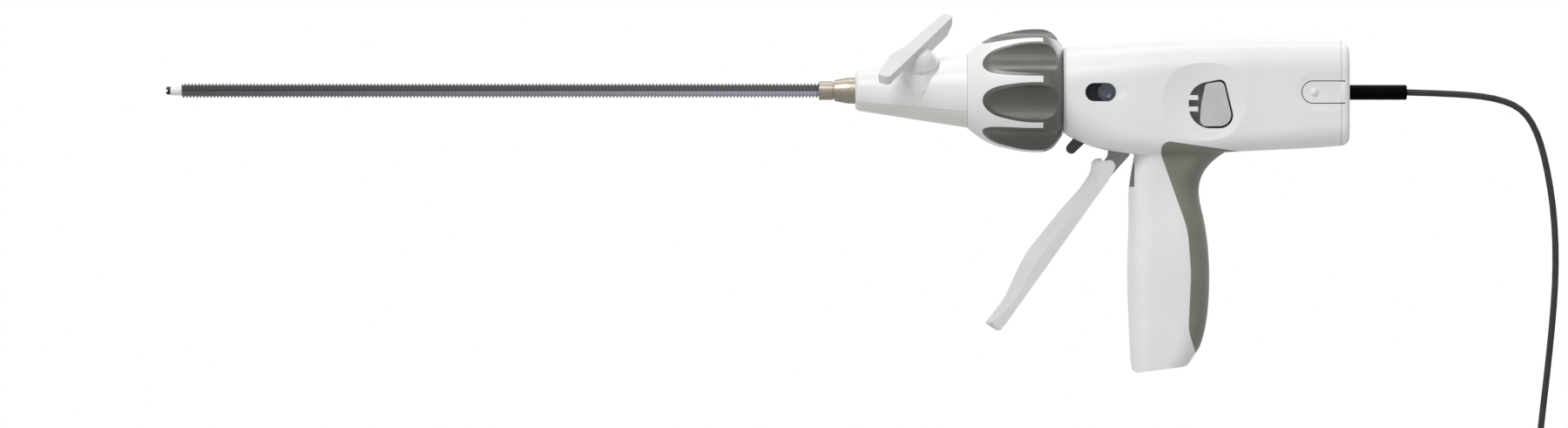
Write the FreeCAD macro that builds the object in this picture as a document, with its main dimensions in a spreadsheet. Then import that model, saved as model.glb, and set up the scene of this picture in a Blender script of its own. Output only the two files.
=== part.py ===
import FreeCAD, Part
import math
import os
import re
import Sketcher

# Powered endoscopic stapler handle, in millimetres.
# X runs from the tip (-X) to the cord (+X), Z is up, and the origin is the middle of the grip.

Vector = FreeCAD.Vector
Rotation = FreeCAD.Rotation
Placement = FreeCAD.Placement

doc = FreeCAD.newDocument("surgical_stapler")
sizes = doc.addObject("Spreadsheet::Sheet", "Sizes")

# Driving dimensions
driving = {
    # shaft axis and the roll of the knob group about it
    "axisHeight": 60,
    "rollAngle": 34.4,
    "runGap": 0.05,
    "seatGap": 0.3,
    # tip, shaft and ferrule
    "dogLength": 2.0,
    "dogRadius": 1.85,
    "dogRound": 0.8,
    "sleeveRadius": 2.2,
    "sleeveLength": 5.2,
    "spigotRadius": 1.9,
    "spigotLength": 8,
    "coreRadius": 1.2,
    "shaftLength": 315.2,
    "shaftRadius": 3.3,
    "shaftBore": 1.5,
    "ferruleRadius": 4.3,
    "ferruleNeck": 6.5,
    "ferruleGroove": 0.6,
    "flareRadius": 6.05,
    "flareLength": 9.6,
    "ferruleSeat": 6,
    # nose
    "noseLength": 51.3,
    "noseFrontRadius": 9.0,
    "noseRearRadius": 17.0,
    "noseEdge": 2.4,
    "noseWall": 1.8,
    "noseTail": 8,
    "tailRadius": 13,
    "partingGap": 0.1,
    # articulation lever, its boss and its rack
    "leverPlace": -112,
    "leverTurn": -29.5,
    "bossTopRadius": 8.4,
    "bossHeight": 15.0,
    "hubRadius": 8.9,
    "hubRim": 1.0,
    "hubDome": 6.4,
    "stemRadius": 3.0,
    "wingLength": 61,
    "wingWidth": 6.2,
    "wingBulge": 2.6,
    "wingTop": 25.2,
    "wingDepth": 8.6,
    "wingNearLift": 4.4,
    "wingOffset": 2.1,
    "gearTeeth": 12,
    "gearModule": 0.8,
    "gearWidth": 3.2,
    "gearHeight": 3.6,
    "rackLength": 23.5,
    "rackLead": 4.5,
    "rackBack": 1.6,
    # rotation knob
    "knobLength": 43.6,
    "knobRadius": 28.2,
    "knobMouth": 17.2,
    "knobRearRadius": 20.6,
    "shoulderLength": 5.4,
    "shoulderRound": 9,
    "fluteCount": 8,
    "fluteRadius": 11,
    "fluteFloor": 23.6,
    "padThickness": 1.3,
    "ridgeLength": 34.6,
    "knobCoreRadius": 19,
    "hubJournal": 9.95,
    "hubReach": 10.4,
    "knobBore": 6,
    # knob bearing and clip
    "bearingWall": 2.4,
    "bearingLength": 6.4,
    "clipThickness": 1.2,
    "clipRadius": 12.2,
    "flangeRadius": 19.6,
    "flangeThickness": 1.4,
    # barrel of the body
    "barrelFront": -44.6,
    "barrelRear": 81.2,
    "frontHalfWidth": 20.1,
    "barrelHalfWidth": 22,
    "barrelRound": 14.5,
    "lowRound": 9.5,
    "frontRound": 18.6,
    "frontRise": 20.4,
    "frontDrop": 20.2,
    "topRise": 24,
    "bellyDrop": 28.6,
    "bottomDrop": 26.8,
    "rearDrop": 25.4,
    "rearRound": 6,
    "wall": 2.4,
    "skin": 1.4,
    "ribThickness": 1.6,
    # grip
    "gripFront": -16.2,
    "gripBelly": 21,
    "gripWaist": 17.4,
    "gripFlare": 34,
    "gripHalfWidth": 15,
    "gripRound": 11.5,
    "gripFoot": -69.6,
    "footRound": 3,
    "neckRise": 12.6,
    # backstrap outline, seen from the side
    "strapFront": -1.2,
    "strapRise": 5.8,
    "strapBelly": 12.6,
    "strapFoot": -61.5,
    # triggers
    "closePivotX": -20,
    "closeDrop": 22.5,
    "pinRadius": 1.5,
    "armThickness": 7,
    "armLift": 10.4,
    "armNose": 2,
    "triggerWidth": 20,
    "triggerFace": 7,
    "triggerWall": 2.2,
    "firePivotX": -34,
    "fireDrop": 18,
    "fireThickness": 6,
    "fireRadius": 2.3,
    "fireReachX": -8.1,
    "fireReachZ": -8.6,
    "slotGap": 0.8,
    "pinSeat": 5,
    # closure yoke
    "yokeFront": -31,
    "yokeRear": -15.2,
    "yokeDrop": 13.4,
    "yokeHeight": 3,
    "yokeHalfWidth": 6,
    "forkSlack": 0.8,
    # reverse switch
    "switchX": -26.2,
    "switchDrop": 0.8,
    "switchTravel": 5.6,
    "switchRadius": 4,
    "carriageFace": 16.6,
    "carriageThickness": 1.6,
    "carriageHeight": 12,
    # release button
    "releaseX": 21.9,
    "releaseDrop": 6.8,
    "releaseTravel": 2,
    "releaseProud": 21.2,
    "scoopRadius": 75,
    "scoopDepth": 2.6,
    # drive train
    "motorRear": 38,
    "motorLength": 36,
    "motorRadius": 12,
    "motorShell": 1,
    "rotorRadius": 9.5,
    "gearboxLength": 15,
    "gearboxRadius": 11,
    "outputRadius": 2,
    "couplingRadius": 4,
    "couplingLength": 7,
    # power pack
    "capThickness": 4,
    "capEdge": 2.6,
    "packFront": 47,
    "packHalfWidth": 15.5,
    "packDrop": 20,
    "packRise": 16,
    "contactReach": 4,
    # squeeze tabs
    "tabFront": 63.4,
    "tabHalfHeight": 4.9,
    "tabDrop": 0.8,
    "tabGap": 0.4,
    "dishRadius": 62,
    "dishDepth": 0.7,
    "dishFront": 69.7,
    "bumpRadius": 2.4,
    "bumpX": 68.8,
    # boot, cord and plug
    "bootRadius": 3.45,
    "bootLength": 26.8,
    "cordDiameter": 3.1,
    "coilRadius": 18.5,
    "coilThickness": 18.5,
    "tieWidth": 5,
    "tieThickness": 0.8,
    "plugRadius": 5.5,
    "plugLength": 30,
    "pinLength": 5,
    # screws and board
    "bossRadius": 3,
    "screwRadius": 1.2,
    "screwHead": 2.4,
    "screwSeat": 11,
    "screwReach": 9,
    "boardThickness": 1.6,
}

# Heights above the middle of the grip, worked out from the shaft axis
heights = {
    "frontTop": "axisHeight + frontRise",
    "frontBottom": "axisHeight - frontDrop",
    "barrelTop": "axisHeight + topRise",
    "bellyBottom": "axisHeight - bellyDrop",
    "barrelBottom": "axisHeight - bottomDrop",
    "rearBottom": "axisHeight - rearDrop",
    "strapTop": "bellyBottom + strapRise",
    "closePivotZ": "axisHeight - closeDrop",
    "firePivotZ": "axisHeight - fireDrop",
    "yokeBottom": "axisHeight - yokeDrop",
    "switchZ": "axisHeight - switchDrop",
    "releaseZ": "axisHeight - releaseDrop",
    "packBottom": "axisHeight - packDrop",
    "packTop": "axisHeight + packRise",
    "tabZ": "axisHeight - tabDrop",
}

entries = [(name, str(value)) for name, value in driving.items()]
entries += [(name, "=" + rule) for name, rule in heights.items()]
for row, (name, entry) in enumerate(entries, start=1):
    cell = "B%d" % row
    sizes.set("A%d" % row, name)
    sizes.set(cell, entry)
    sizes.setAlias(cell, name)
doc.recompute()


def formula(text):
    """Names in the sheet become references to it."""
    return re.sub(r"[A-Za-z]\w*",
                  lambda word: "Sizes." + word.group() if word.group() in driving or word.group() in heights
                  else word.group(), str(text))


def number(text):
    return float(sizes.evalExpression(formula(text)))


def bind(thing, **rules):
    for path, text in rules.items():
        thing.setExpression(path.replace("_", "."), formula(text))
    return thing


def place(thing, x=0, y=0, z=0, turn=None, angle=None):
    """Put a thing at a bound place; turn is its axis of rotation and angle a bound or plain angle."""
    if turn:
        thing.Placement = Placement(Vector(), Rotation(Vector(*turn), number(angle)))
        bind(thing, Placement_Rotation_Angle=angle)
    return bind(thing, Placement_Base_x=x, Placement_Base_y=y, Placement_Base_z=z)


# Outlines, drawn as sketches

# each plane maps the sketch's own axes onto the model's
planes = {
    "side": Rotation(Vector(1, 0, 0), 90),
    "front": Rotation(Vector(1, 1, 1), 120),
    "level": Rotation(),
}


def drawOutline(sketch, corners):
    """A closed outline through corners (x, y) or (x, y, radius), held by constraints bound to the sheet."""
    count = len(corners)
    spots = [Vector(number(corner[0]), number(corner[1]), 0) for corner in corners]
    radii = [number(corner[2]) if len(corner) > 2 else 0 for corner in corners]
    arriving, leaving, middles, leftward = [], [], [], []
    for i, spot in enumerate(spots):
        back = (spots[i - 1] - spot).normalize()
        ahead = (spots[(i + 1) % count] - spot).normalize()
        half = back.getAngle(ahead) / 2
        arriving.append(spot + back * (radii[i] / math.tan(half)))
        leaving.append(spot + ahead * (radii[i] / math.tan(half)))
        middles.append(spot + (back + ahead).normalize() * (radii[i] / math.sin(half)))
        leftward.append(ahead.cross(back).z > 0)
    lines = [sketch.addGeometry(Part.LineSegment(leaving[i], arriving[(i + 1) % count])) for i in range(count)]
    held = []
    bound = []

    def hold(kind, *arguments, rule=None):
        if rule is not None:
            bound.append((len(held), rule))
        held.append(Sketcher.Constraint(kind, *arguments))

    for i in range(count):
        before = lines[i - 1]
        after = lines[i]
        if radii[i]:
            # an arc runs anticlockwise, so its start is where a leftward corner is entered
            entry, first, last = (1, arriving[i], leaving[i]) if leftward[i] else (2, leaving[i], arriving[i])
            angles = [math.atan2(point.y - middles[i].y, point.x - middles[i].x) for point in (first, last)]
            arc = sketch.addGeometry(Part.ArcOfCircle(Part.Circle(middles[i], Vector(0, 0, 1), radii[i]), *angles))
            spot = sketch.addGeometry(Part.Point(spots[i]), True)
            hold("Tangent", before, 2, arc, entry)
            hold("Tangent", arc, 3 - entry, after, 1)
            hold("Radius", arc, radii[i], rule=corners[i][2])
            hold("PointOnObject", spot, 1, before)
            hold("PointOnObject", spot, 1, after)
            anchor = (spot, 1)
        else:
            hold("Coincident", before, 2, after, 1)
            anchor = (after, 1)
        hold("DistanceX", -1, 1, *anchor, spots[i].x, rule=corners[i][0])
        hold("DistanceY", -1, 1, *anchor, spots[i].y, rule=corners[i][1])
    sketch.addConstraint(held)
    for index, rule in bound:
        sketch.setExpression("Constraints[%d]" % index, formula(rule))
    return sketch


def outline(name, plane, corners, at=0):
    """A free sketch on one of the planes, at a bound distance from the origin."""
    sketch = doc.addObject("Sketcher::SketchObject", name + "_outline")
    sketch.Placement = Placement(Vector(), planes[plane])
    drawOutline(sketch, corners)
    axis = {"side": "y", "front": "x", "level": "z"}[plane]
    sketch.setExpression("Placement.Base." + axis, formula(at))
    return sketch


# Solids


def prism(name, plane, corners, low, high):
    """An outline pushed from one bound height to another along its plane's normal."""
    sketch = outline(name, plane, corners)
    solid = doc.addObject("Part::Extrusion", name)
    solid.Base = sketch
    solid.DirMode = "Custom"
    solid.Dir = {"side": Vector(0, 1, 0), "front": Vector(1, 0, 0), "level": Vector(0, 0, 1)}[plane]
    solid.Solid = True
    bind(solid, LengthFwd=high, LengthRev="-(%s)" % low)
    return solid


def turned(name, corners, z="axisHeight"):
    """An outline of (x, radius) corners turned about the X axis, then lifted."""
    sketch = outline(name, "side", corners)
    solid = doc.addObject("Part::Revolution", name)
    solid.Source = sketch
    solid.Axis = Vector(1, 0, 0)
    solid.Angle = 360
    solid.Solid = True
    return place(solid, z=z)


def through(name, plane, sections, ruled=False):
    """A solid through outlines (at, corners) that stand one behind the other; ruled keeps it straight between."""
    loft = doc.addObject("Part::Loft", name)
    loft.Sections = [outline("%s_%d" % (name, i), plane, corners, at) for i, (at, corners) in enumerate(sections)]
    loft.Solid = True
    loft.Ruled = ruled
    return loft


def lofted(name, plane, sections, ruled=False):
    """The same through rectangles (at, low x, high x, low y, high y, corner radius, low corners' own radius)."""
    rings = []
    for at, lowX, highX, lowY, highY, radius, *low in sections:
        lowRadius = low[0] if low else radius
        rings.append((at, [(lowX, lowY, lowRadius), (highX, lowY, lowRadius), (highX, highY, radius),
                           (lowX, highY, radius)]))
    return through(name, plane, rings, ruled)


def ball(name, radius, x, y, z):
    solid = doc.addObject("Part::Sphere", name)
    bind(solid, Radius=radius)
    return place(solid, x, y, z)


def box(name, lowX, highX, lowY, highY, lowZ, highZ):
    solid = doc.addObject("Part::Box", name)
    bind(solid, Length="(%s) - (%s)" % (highX, lowX), Width="(%s) - (%s)" % (highY, lowY),
         Height="(%s) - (%s)" % (highZ, lowZ))
    return place(solid, lowX, lowY, lowZ)


def rod(name, radius, axis, low, high, x=0, y=0, z=0):
    """A cylinder along X, Y or Z between two bound ends; the place across it is given by the other two."""
    solid = doc.addObject("Part::Cylinder", name)
    bind(solid, Radius=radius, Height="(%s) - (%s)" % (high, low))
    turns = {"X": ((0, 1, 0), 90), "Y": ((1, 0, 0), -90), "Z": ((0, 0, 1), 0)}
    spot = {"x": x, "y": y, "z": z}
    spot[axis.lower()] = low
    return place(solid, turn=turns[axis][0], angle=turns[axis][1], **spot)


def fuse(name, *solids):
    result = doc.addObject("Part::MultiFuse", name)
    result.Shapes = list(solids)
    return result


def cut(name, base, *tools):
    result = doc.addObject("Part::Cut", name)
    result.Base = base
    result.Tool = tools[0] if len(tools) == 1 else fuse(name + "_tools", *tools)
    return result


def common(name, first, second):
    result = doc.addObject("Part::MultiCommon", name)
    result.Shapes = [first, second]
    return result


nodes = {}


def node(name, solid):
    """The finished shape of one sub-part, under the name of its file."""
    solid.Label = name
    nodes[name] = solid
    return solid


def rolled(solid):
    """A sub-part of the knob group, drawn about the X axis, lifted to the shaft axis and rolled with the knob."""
    return place(solid, z="axisHeight", turn=(1, 0, 0), angle="rollAngle")


# Stations along the shaft axis, counted forward from the barrel
knobRear = "(barrelFront - flangeThickness - seatGap)"
knobFront = f"({knobRear} - knobLength)"
noseRear = f"({knobFront} - partingGap)"
noseFront = f"({noseRear} - noseLength)"
shaftRear = f"({noseFront} + ferruleSeat)"
shaftFront = f"({shaftRear} - shaftLength)"
sleeveFront = f"({shaftFront} - sleeveLength)"
spigotRear = f"({shaftFront} + spigotLength)"
tip = f"({sleeveFront} - dogLength)"
gearboxFront = "(motorRear - motorLength - gearboxLength)"
capRear = "(barrelRear + capThickness)"
bootRear = f"({capRear} + bootLength)"


# Drive line: dog, core and coupling

def driveDog():
    """The dark end of the drive at the tip, slotted across for the tool that it turns."""
    rear = f"{sleeveFront} - runGap"
    seat = f"{tip} + dogLength / 2"
    disc = turned("dog_disc", [
        (tip, 0),
        (tip, "dogRadius", "dogRound"),
        (rear, "dogRadius"),
        (rear, "coreRadius + runGap"),
        (seat, "coreRadius + runGap"),
        (seat, 0),
    ])
    slot = box("dog_slot", f"{tip} - 1", f"{tip} + dogLength * 0.4", "-dogRadius - 1", "dogRadius + 1",
               "axisHeight - 0.4", "axisHeight + 0.4")
    node("tip_drive_dog", cut("dog", disc, slot))


def driveCore():
    core = rod("core", "coreRadius", "X", f"{tip} + dogLength / 2 + runGap", f"{gearboxFront} - couplingLength / 2",
               z="axisHeight")
    node("drive_core", core)


def driveCoupling():
    """The sleeve that joins the core to the gearbox's output shaft."""
    front = f"{gearboxFront} - couplingLength"
    node("drive_coupling", turned("coupling", [
        (front, "coreRadius + runGap"),
        (front, "couplingRadius", 0.8),
        (f"{gearboxFront} - seatGap", "couplingRadius"),
        (f"{gearboxFront} - seatGap", "outputRadius"),
        (f"{gearboxFront} + 6", "outputRadius"),
        (f"{gearboxFront} + 6", 0),
        (f"{gearboxFront} - couplingLength / 2 + runGap", 0),
        (f"{gearboxFront} - couplingLength / 2 + runGap", "coreRadius + runGap"),
    ]))


# Shaft group

def tipCoupling():
    """The pale sleeve at the tip; its spigot is pressed into the end of the shaft."""
    node("tip_coupling", turned("sleeve", [
        (sleeveFront, "shaftBore"),
        (spigotRear, "shaftBore"),
        (spigotRear, "spigotRadius"),
        (shaftFront, "spigotRadius"),
        (shaftFront, "sleeveRadius"),
        (sleeveFront, "sleeveRadius", 0.3),
    ]))


def flexibleShaft():
    node("flexible_shaft", turned("shaft", [
        (shaftFront, "spigotRadius + runGap"),
        (shaftFront, "shaftRadius", 0.5),
        (shaftRear, "shaftRadius"),
        (shaftRear, "shaftBore"),
        (f"{spigotRear} + seatGap", "shaftBore"),
        (f"{spigotRear} + seatGap", "spigotRadius + runGap"),
    ]))


def shaftFerrule():
    """Metal ferrule: a plain neck, a groove and a convex flare that meets the nose."""
    front = f"{noseFront} - flareLength - ferruleGroove - ferruleNeck"
    node("shaft_ferrule", turned("ferrule", [
        (front, "shaftRadius + runGap"),
        (front, "ferruleRadius", 0.5),
        (f"{front} + ferruleNeck", "ferruleRadius", 0.2),
        (f"{front} + ferruleNeck", "ferruleRadius - 0.5"),
        (f"{front} + ferruleNeck + ferruleGroove", "ferruleRadius - 0.5"),
        (f"{front} + ferruleNeck + ferruleGroove", "ferruleRadius + 0.5", 0.3),
        (f"{noseFront} - flareLength * 0.35", "flareRadius - 0.1", 12),
        (noseFront, "flareRadius"),
        (noseFront, "flareRadius - 1"),
        (shaftRear, "flareRadius - 1"),
        (shaftRear, "shaftRadius + runGap"),
    ]))


# Nose and articulation

noseSlope = "((noseRearRadius - noseFrontRadius) / noseLength)"
noseAtLever = f"(noseFrontRadius + (leverPlace - {noseFront}) * {noseSlope})"


def noseShells():
    """Two shells that part across the lever's axis; the upper one carries the lever's fairing."""
    body = turned("nose_body", [
        (noseFront, 0),
        (noseFront, "noseFrontRadius", "noseEdge"),
        (noseRear, "noseRearRadius"),
        (noseRear, "tailRadius"),
        (f"{noseRear} + noseTail", "tailRadius"),
        (f"{noseRear} + noseTail", 0),
    ], z=0)
    cavity = turned("nose_cavity", [
        (f"{shaftRear} + runGap", 0),
        (f"{shaftRear} + runGap", f"noseFrontRadius - noseWall + ferruleSeat * {noseSlope}"),
        (f"{noseRear} - noseWall", "noseRearRadius - noseWall"),
        (f"{noseRear} - noseWall", "tailRadius - noseWall"),
        (f"{noseRear} + noseTail + 1", "tailRadius - noseWall"),
        (f"{noseRear} + noseTail + 1", 0),
    ], z=0)
    mouth = rod("nose_mouth", "flareRadius - 1 + runGap", "X", f"{noseFront} - 1", f"{shaftRear} + 1")
    waist = "bossTopRadius * 0.68"
    fairing = lofted("lever_fairing", "level", [
        (0, -1.5, 1.5, f"-{noseAtLever} - 0.5", f"{noseAtLever} + 0.5", 1.4),
        ("bossHeight * 0.55", f"-{waist}", waist, f"-{noseAtLever} + 1", f"{noseAtLever} - 1", f"{waist} - 0.1"),
        ("bossHeight", "-bossTopRadius", "bossTopRadius", "-bossTopRadius", "bossTopRadius", "bossTopRadius - 0.1"),
    ], ruled=True)
    place(fairing, x="leverPlace")
    stemBore = rod("stem_bore", "stemRadius + runGap", "Z", 0, "bossHeight + 1", x="leverPlace")
    shells = cut("nose_shells", fuse("nose_solid", body, fairing), cavity, mouth, stemBore)
    upper = box("nose_upper_room", f"{noseFront} - 1", knobRear, "-noseRearRadius - 9", "noseRearRadius + 9",
                "partingGap / 2", "noseRearRadius + 9")
    lower = box("nose_lower_room", f"{noseFront} - 1", knobRear, "-noseRearRadius - 9", "noseRearRadius + 9",
                "-noseRearRadius - 9", "-partingGap / 2")
    node("nose_upper_shell", rolled(common("nose_upper", shells, upper)))
    node("nose_lower_shell", rolled(common("nose_lower", shells, lower)))


def articulationLever():
    """A wing on a domed hub, turned from square as it stands in use, with its stem down through the fairing."""
    base = "bossHeight + seatGap"
    profile = outline("hub", "side", [
        (0, base),
        ("hubRadius", base),
        ("hubRadius", f"{base} + hubRim"),
        ("hubRadius * 0.62", f"{base} + hubDome", "hubRadius * 0.7"),
        (0, f"{base} + hubDome"),
    ])
    hub = doc.addObject("Part::Revolution", "hub")
    hub.Source = profile
    hub.Axis = Vector(0, 0, 1)
    hub.Angle = 360
    hub.Solid = True
    plan = prism("wing_plan", "level", [
        ("wingWidth / 2", "-wingLength / 2", 2.2),
        ("wingWidth / 2", "wingLength / 2", 1.6),
        ("-wingWidth * 0.3", "wingLength / 2", 1.8),
        ("-wingWidth * 0.5", "wingLength * 0.12"),
        ("-wingWidth * 0.5", "-wingLength * 0.05", 6),
        ("-wingWidth / 2 - wingBulge", "-wingLength * 0.21", 7),
        ("-wingWidth * 0.45", "-wingLength / 2", 2.4),
    ], "bossHeight", "wingTop + 2")
    flank = prism("wing_flank", "front", [
        ("-wingLength / 2 - 1", "wingTop + 0.2"),
        ("-wingLength / 2 - 1", "wingTop - wingDepth + wingNearLift"),
        ("-wingLength * 0.25", "wingTop - wingDepth + wingNearLift", 3),
        ("-wingLength * 0.16", "wingTop - wingDepth", 2),
        ("wingLength * 0.4", "wingTop - wingDepth - 0.4", 3),
        ("wingLength / 2 + 1", "wingTop - 4"),
        ("wingLength / 2 + 1", "wingTop - 1.4"),
    ], "-wingWidth * 2", "wingWidth * 2")
    wing = place(common("wing", plan, flank), x="-wingOffset")
    stem = rod("stem", "stemRadius", "Z", "gearHeight", "bossHeight + seatGap + 1")
    square = place(fuse("lever_square", hub, wing, stem), x="leverPlace", turn=(0, 0, 1), angle="leverTurn")
    drilled = rod("stem_drilled", "stemRadius / 3", "Z", "gearHeight - 1", "gearHeight + 6", x="leverPlace")
    node("articulation_lever", rolled(cut("lever", square, drilled)))


pitchRadius = "(gearModule * gearTeeth / 2)"
gearPitch = "(gearModule * 3.14159)"


def articulationPinion():
    """Twelve thin teeth round a disc that is keyed on the lever's stem."""
    disc = rod("pinion_disc", f"{pitchRadius} - gearModule * 1.2", "Z", "gearHeight", "gearHeight + gearWidth",
               x="leverPlace")
    teeth = []
    for i in range(int(number("gearTeeth"))):
        tooth = prism("pinion_tooth_%d" % i, "level", [
            (f"{pitchRadius} - gearModule * 1.5", "-gearModule * 0.85"),
            (f"{pitchRadius} + gearModule * 0.75", "-gearModule * 0.3"),
            (f"{pitchRadius} + gearModule * 0.75", "gearModule * 0.3"),
            (f"{pitchRadius} - gearModule * 1.5", "gearModule * 0.85"),
        ], "gearHeight", "gearHeight + gearWidth")
        teeth.append(place(tooth, x="leverPlace", turn=(0, 0, 1), angle=f"{i} * 360 / gearTeeth"))
    bore = rod("pinion_bore", "stemRadius + runGap / 2", "Z", "gearHeight - 1", "gearHeight + gearWidth + 1",
               x="leverPlace")
    node("articulation_pinion", rolled(cut("pinion", fuse("pinion_blank", disc, *teeth), bore)))


def articulationRack():
    """A straight rack beside the pinion, which carries the lever's turn back along the nose."""
    front = "leverPlace - rackLead"
    rear = "leverPlace - rackLead + rackLength"
    crest = f"({pitchRadius} - gearModule * 0.75)"
    root = f"({pitchRadius} + gearModule)"
    bar = box("rack_bar", front, rear, crest, f"{root} + rackBack", "gearHeight", "gearHeight + gearWidth")
    gaps = []
    for i in range(7):
        middle = f"(leverPlace + {i - 1} * {gearPitch})"
        gaps.append(prism("rack_gap_%d" % i, "level", [
            (f"{middle} - gearModule * 1.32", f"{crest} - 0.2"),
            (f"{middle} + gearModule * 1.32", f"{crest} - 0.2"),
            (f"{middle} + gearModule * 0.6", root),
            (f"{middle} - gearModule * 0.6", root),
        ], "gearHeight - 1", "gearHeight + gearWidth + 1"))
    node("articulation_rack", rolled(cut("rack", bar, *gaps)))


# Rotation knob

def rotationKnob():
    """A white core whose ridges stand between eight scooped soft pads; the pads join in a ring at the back."""
    form = turned("knob_form", [
        (knobFront, 0),
        (knobFront, "knobMouth"),
        (f"{knobFront} + knobLength * 0.218", "knobRadius - 3.6", 30),
        (f"{knobFront} + knobLength * 0.62", "knobRadius + 0.3", 50),
        (f"{knobRear} - shoulderLength", "knobRadius", "shoulderRound"),
        (knobRear, "knobRearRadius"),
        (knobRear, 0),
    ], z=0)
    scoops, pads = [], []
    spread = "(fluteFloor + fluteRadius)"
    for i in range(int(number("fluteCount"))):
        angle = f"({i} + 0.5) * 360 / fluteCount"
        spot = {"y": f"{spread} * sin({angle})", "z": f"{spread} * cos({angle})"}
        scoops.append(rod("scoop_%d" % i, "fluteRadius", "X", f"{knobFront} - 2", f"{knobRear} + 2", **spot))
        pads.append(rod("pad_%d" % i, "fluteRadius + padThickness", "X", f"{knobFront} - 2", f"{knobRear} + 2", **spot))
    ring = cut("pad_ring", rod("ring_outside", "knobRadius + 5", "X", f"{knobFront} + ridgeLength", f"{knobRear} + 1"),
               rod("ring_inside", "knobCoreRadius", "X", f"{knobFront} + ridgeLength - 1", f"{knobRear} + 2"))
    soft = fuse("soft_room", ring, *pads)
    overmould = cut("overmould", common("soft_form", form, soft), *scoops)
    node("knob_overmould", rolled(overmould))
    hub = rod("knob_hub", "hubJournal", "X", f"{knobRear} - 1", f"{knobRear} + hubReach")
    cavity = turned("knob_cavity", [
        (f"{knobFront} - 1", 0),
        (f"{knobFront} - 1", "tailRadius + runGap"),
        (f"{knobFront} + noseTail + seatGap", "tailRadius + runGap"),
        (f"{knobFront} + noseTail + seatGap", "tailRadius + 3"),
        (f"{knobRear} - 5", "tailRadius + 3"),
        (f"{knobRear} - 5", "knobBore"),
        (f"{knobRear} + hubReach + 1", "knobBore"),
        (f"{knobRear} + hubReach + 1", 0),
    ], z=0)
    clipFront = "(barrelFront + bearingLength + seatGap)"
    groove = cut("clip_groove", rod("groove_outside", "hubJournal + 1", "X", clipFront,
                                    f"{clipFront} + clipThickness + runGap * 2"),
                 rod("groove_inside", "hubJournal - 0.8", "X", f"{clipFront} - 1", f"{clipFront} + clipThickness + 1"))
    core = cut("knob_core_cut", fuse("knob_core_solid", cut("core_form", form, soft), hub), cavity, groove)
    node("knob_core", rolled(core))
    ringTurned = turned("clip", [
        (f"{clipFront} + runGap", "hubJournal - 0.8 + runGap"),
        (f"{clipFront} + runGap", "clipRadius"),
        (f"{clipFront} + runGap + clipThickness", "clipRadius"),
        (f"{clipFront} + runGap + clipThickness", "hubJournal - 0.8 + runGap"),
    ], z=0)
    gap = box("clip_gap", f"{clipFront} - 1", f"{clipFront} + 3", "-2.5", "2.5", "0", "clipRadius + 1")
    node("knob_clip", rolled(cut("clip_cut", ringTurned, gap)))


def knobBearing():
    node("knob_bearing", turned("bearing", [
        ("barrelFront + runGap", "hubJournal + runGap"),
        ("barrelFront + runGap", "hubJournal + bearingWall"),
        ("barrelFront + bearingLength", "hubJournal + bearingWall"),
        ("barrelFront + bearingLength", "hubJournal + runGap"),
    ]))
    node("knob_flange_ring", turned("flange", [
        ("barrelFront - flangeThickness", "hubJournal + 0.5"),
        ("barrelFront - flangeThickness", "flangeRadius", 0.5),
        ("barrelFront", "flangeRadius"),
        ("barrelFront", "hubJournal + 0.5"),
    ]))


# Body: barrel and grip

def barrelLoft(name, inset, front, rear):
    """The barrel as a smooth loft of five rounded stations, drawn in by a wall or a skin."""
    return lofted(name, "front", [
        (front, f"-frontHalfWidth + {inset}", f"frontHalfWidth - {inset}", f"frontBottom + {inset}",
         f"frontTop - {inset}", f"frontRound - {inset}"),
        (-18, f"-barrelHalfWidth + 0.6 + {inset}", f"barrelHalfWidth - 0.6 - {inset}", f"bellyBottom + {inset}",
         f"barrelTop - 2.2 - {inset}", f"barrelRound + 2 - {inset}", f"lowRound + 1 - {inset}"),
        (26, f"-barrelHalfWidth + {inset}", f"barrelHalfWidth - {inset}", f"bellyBottom + 0.2 + {inset}",
         f"barrelTop - 0.3 - {inset}", f"barrelRound - {inset}", f"lowRound - 1.5 - {inset}"),
        (58, f"-barrelHalfWidth + {inset}", f"barrelHalfWidth - {inset}", f"barrelBottom + {inset}",
         f"barrelTop - {inset}", f"barrelRound - {inset}", f"lowRound - {inset}"),
        (rear, f"-barrelHalfWidth + {inset}", f"barrelHalfWidth - {inset}", f"rearBottom + {inset}",
         f"barrelTop - 0.5 - {inset}", f"barrelRound - {inset}", f"lowRound - {inset}"),
    ])


def gripLoft(name, inset):
    """The grip as a smooth loft of nine rounded stations, from a wide neck inside the barrel down to its foot."""
    stations = [
        ("bellyBottom + neckRise", "gripFront + 7", "gripFlare + 8", "barrelHalfWidth - 1.2", "gripRound - 0.5"),
        ("bellyBottom + 4.6", "gripFront + 3.6", "gripFlare + 2", "gripHalfWidth + 3", "gripRound - 0.5"),
        ("bellyBottom - 2.4", "gripFront + 2.8", "gripFlare - 9.6", "gripHalfWidth + 0.7", "gripRound - 0.5"),
        (20, "gripFront + 1.2", "gripWaist", "gripHalfWidth - 0.6", "gripRound - 0.5"),
        (4, "gripFront + 0.4", "gripWaist + 0.6", "gripHalfWidth - 0.9", "gripRound"),
        (-12, "gripFront", "gripBelly - 0.4", "gripHalfWidth - 0.4", "gripRound + 0.5"),
        (-34, "gripFront", "gripBelly", "gripHalfWidth", "gripRound + 0.5"),
        (-54, "gripFront + 0.8", "gripBelly - 3", "gripHalfWidth - 0.4", "gripRound"),
        ("gripFoot - 2", "gripFront + 2.4", "gripBelly - 14.6", "gripHalfWidth - 1.6", "gripRound - 3"),
    ]
    return lofted(name, "level", [
        (at, f"{front} + {inset}", f"{rear} - {inset}", f"-({half}) + {inset}",
         f"{half} - {inset}", f"{round} - {inset}")
        for at, front, rear, half, round in stations])


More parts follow.
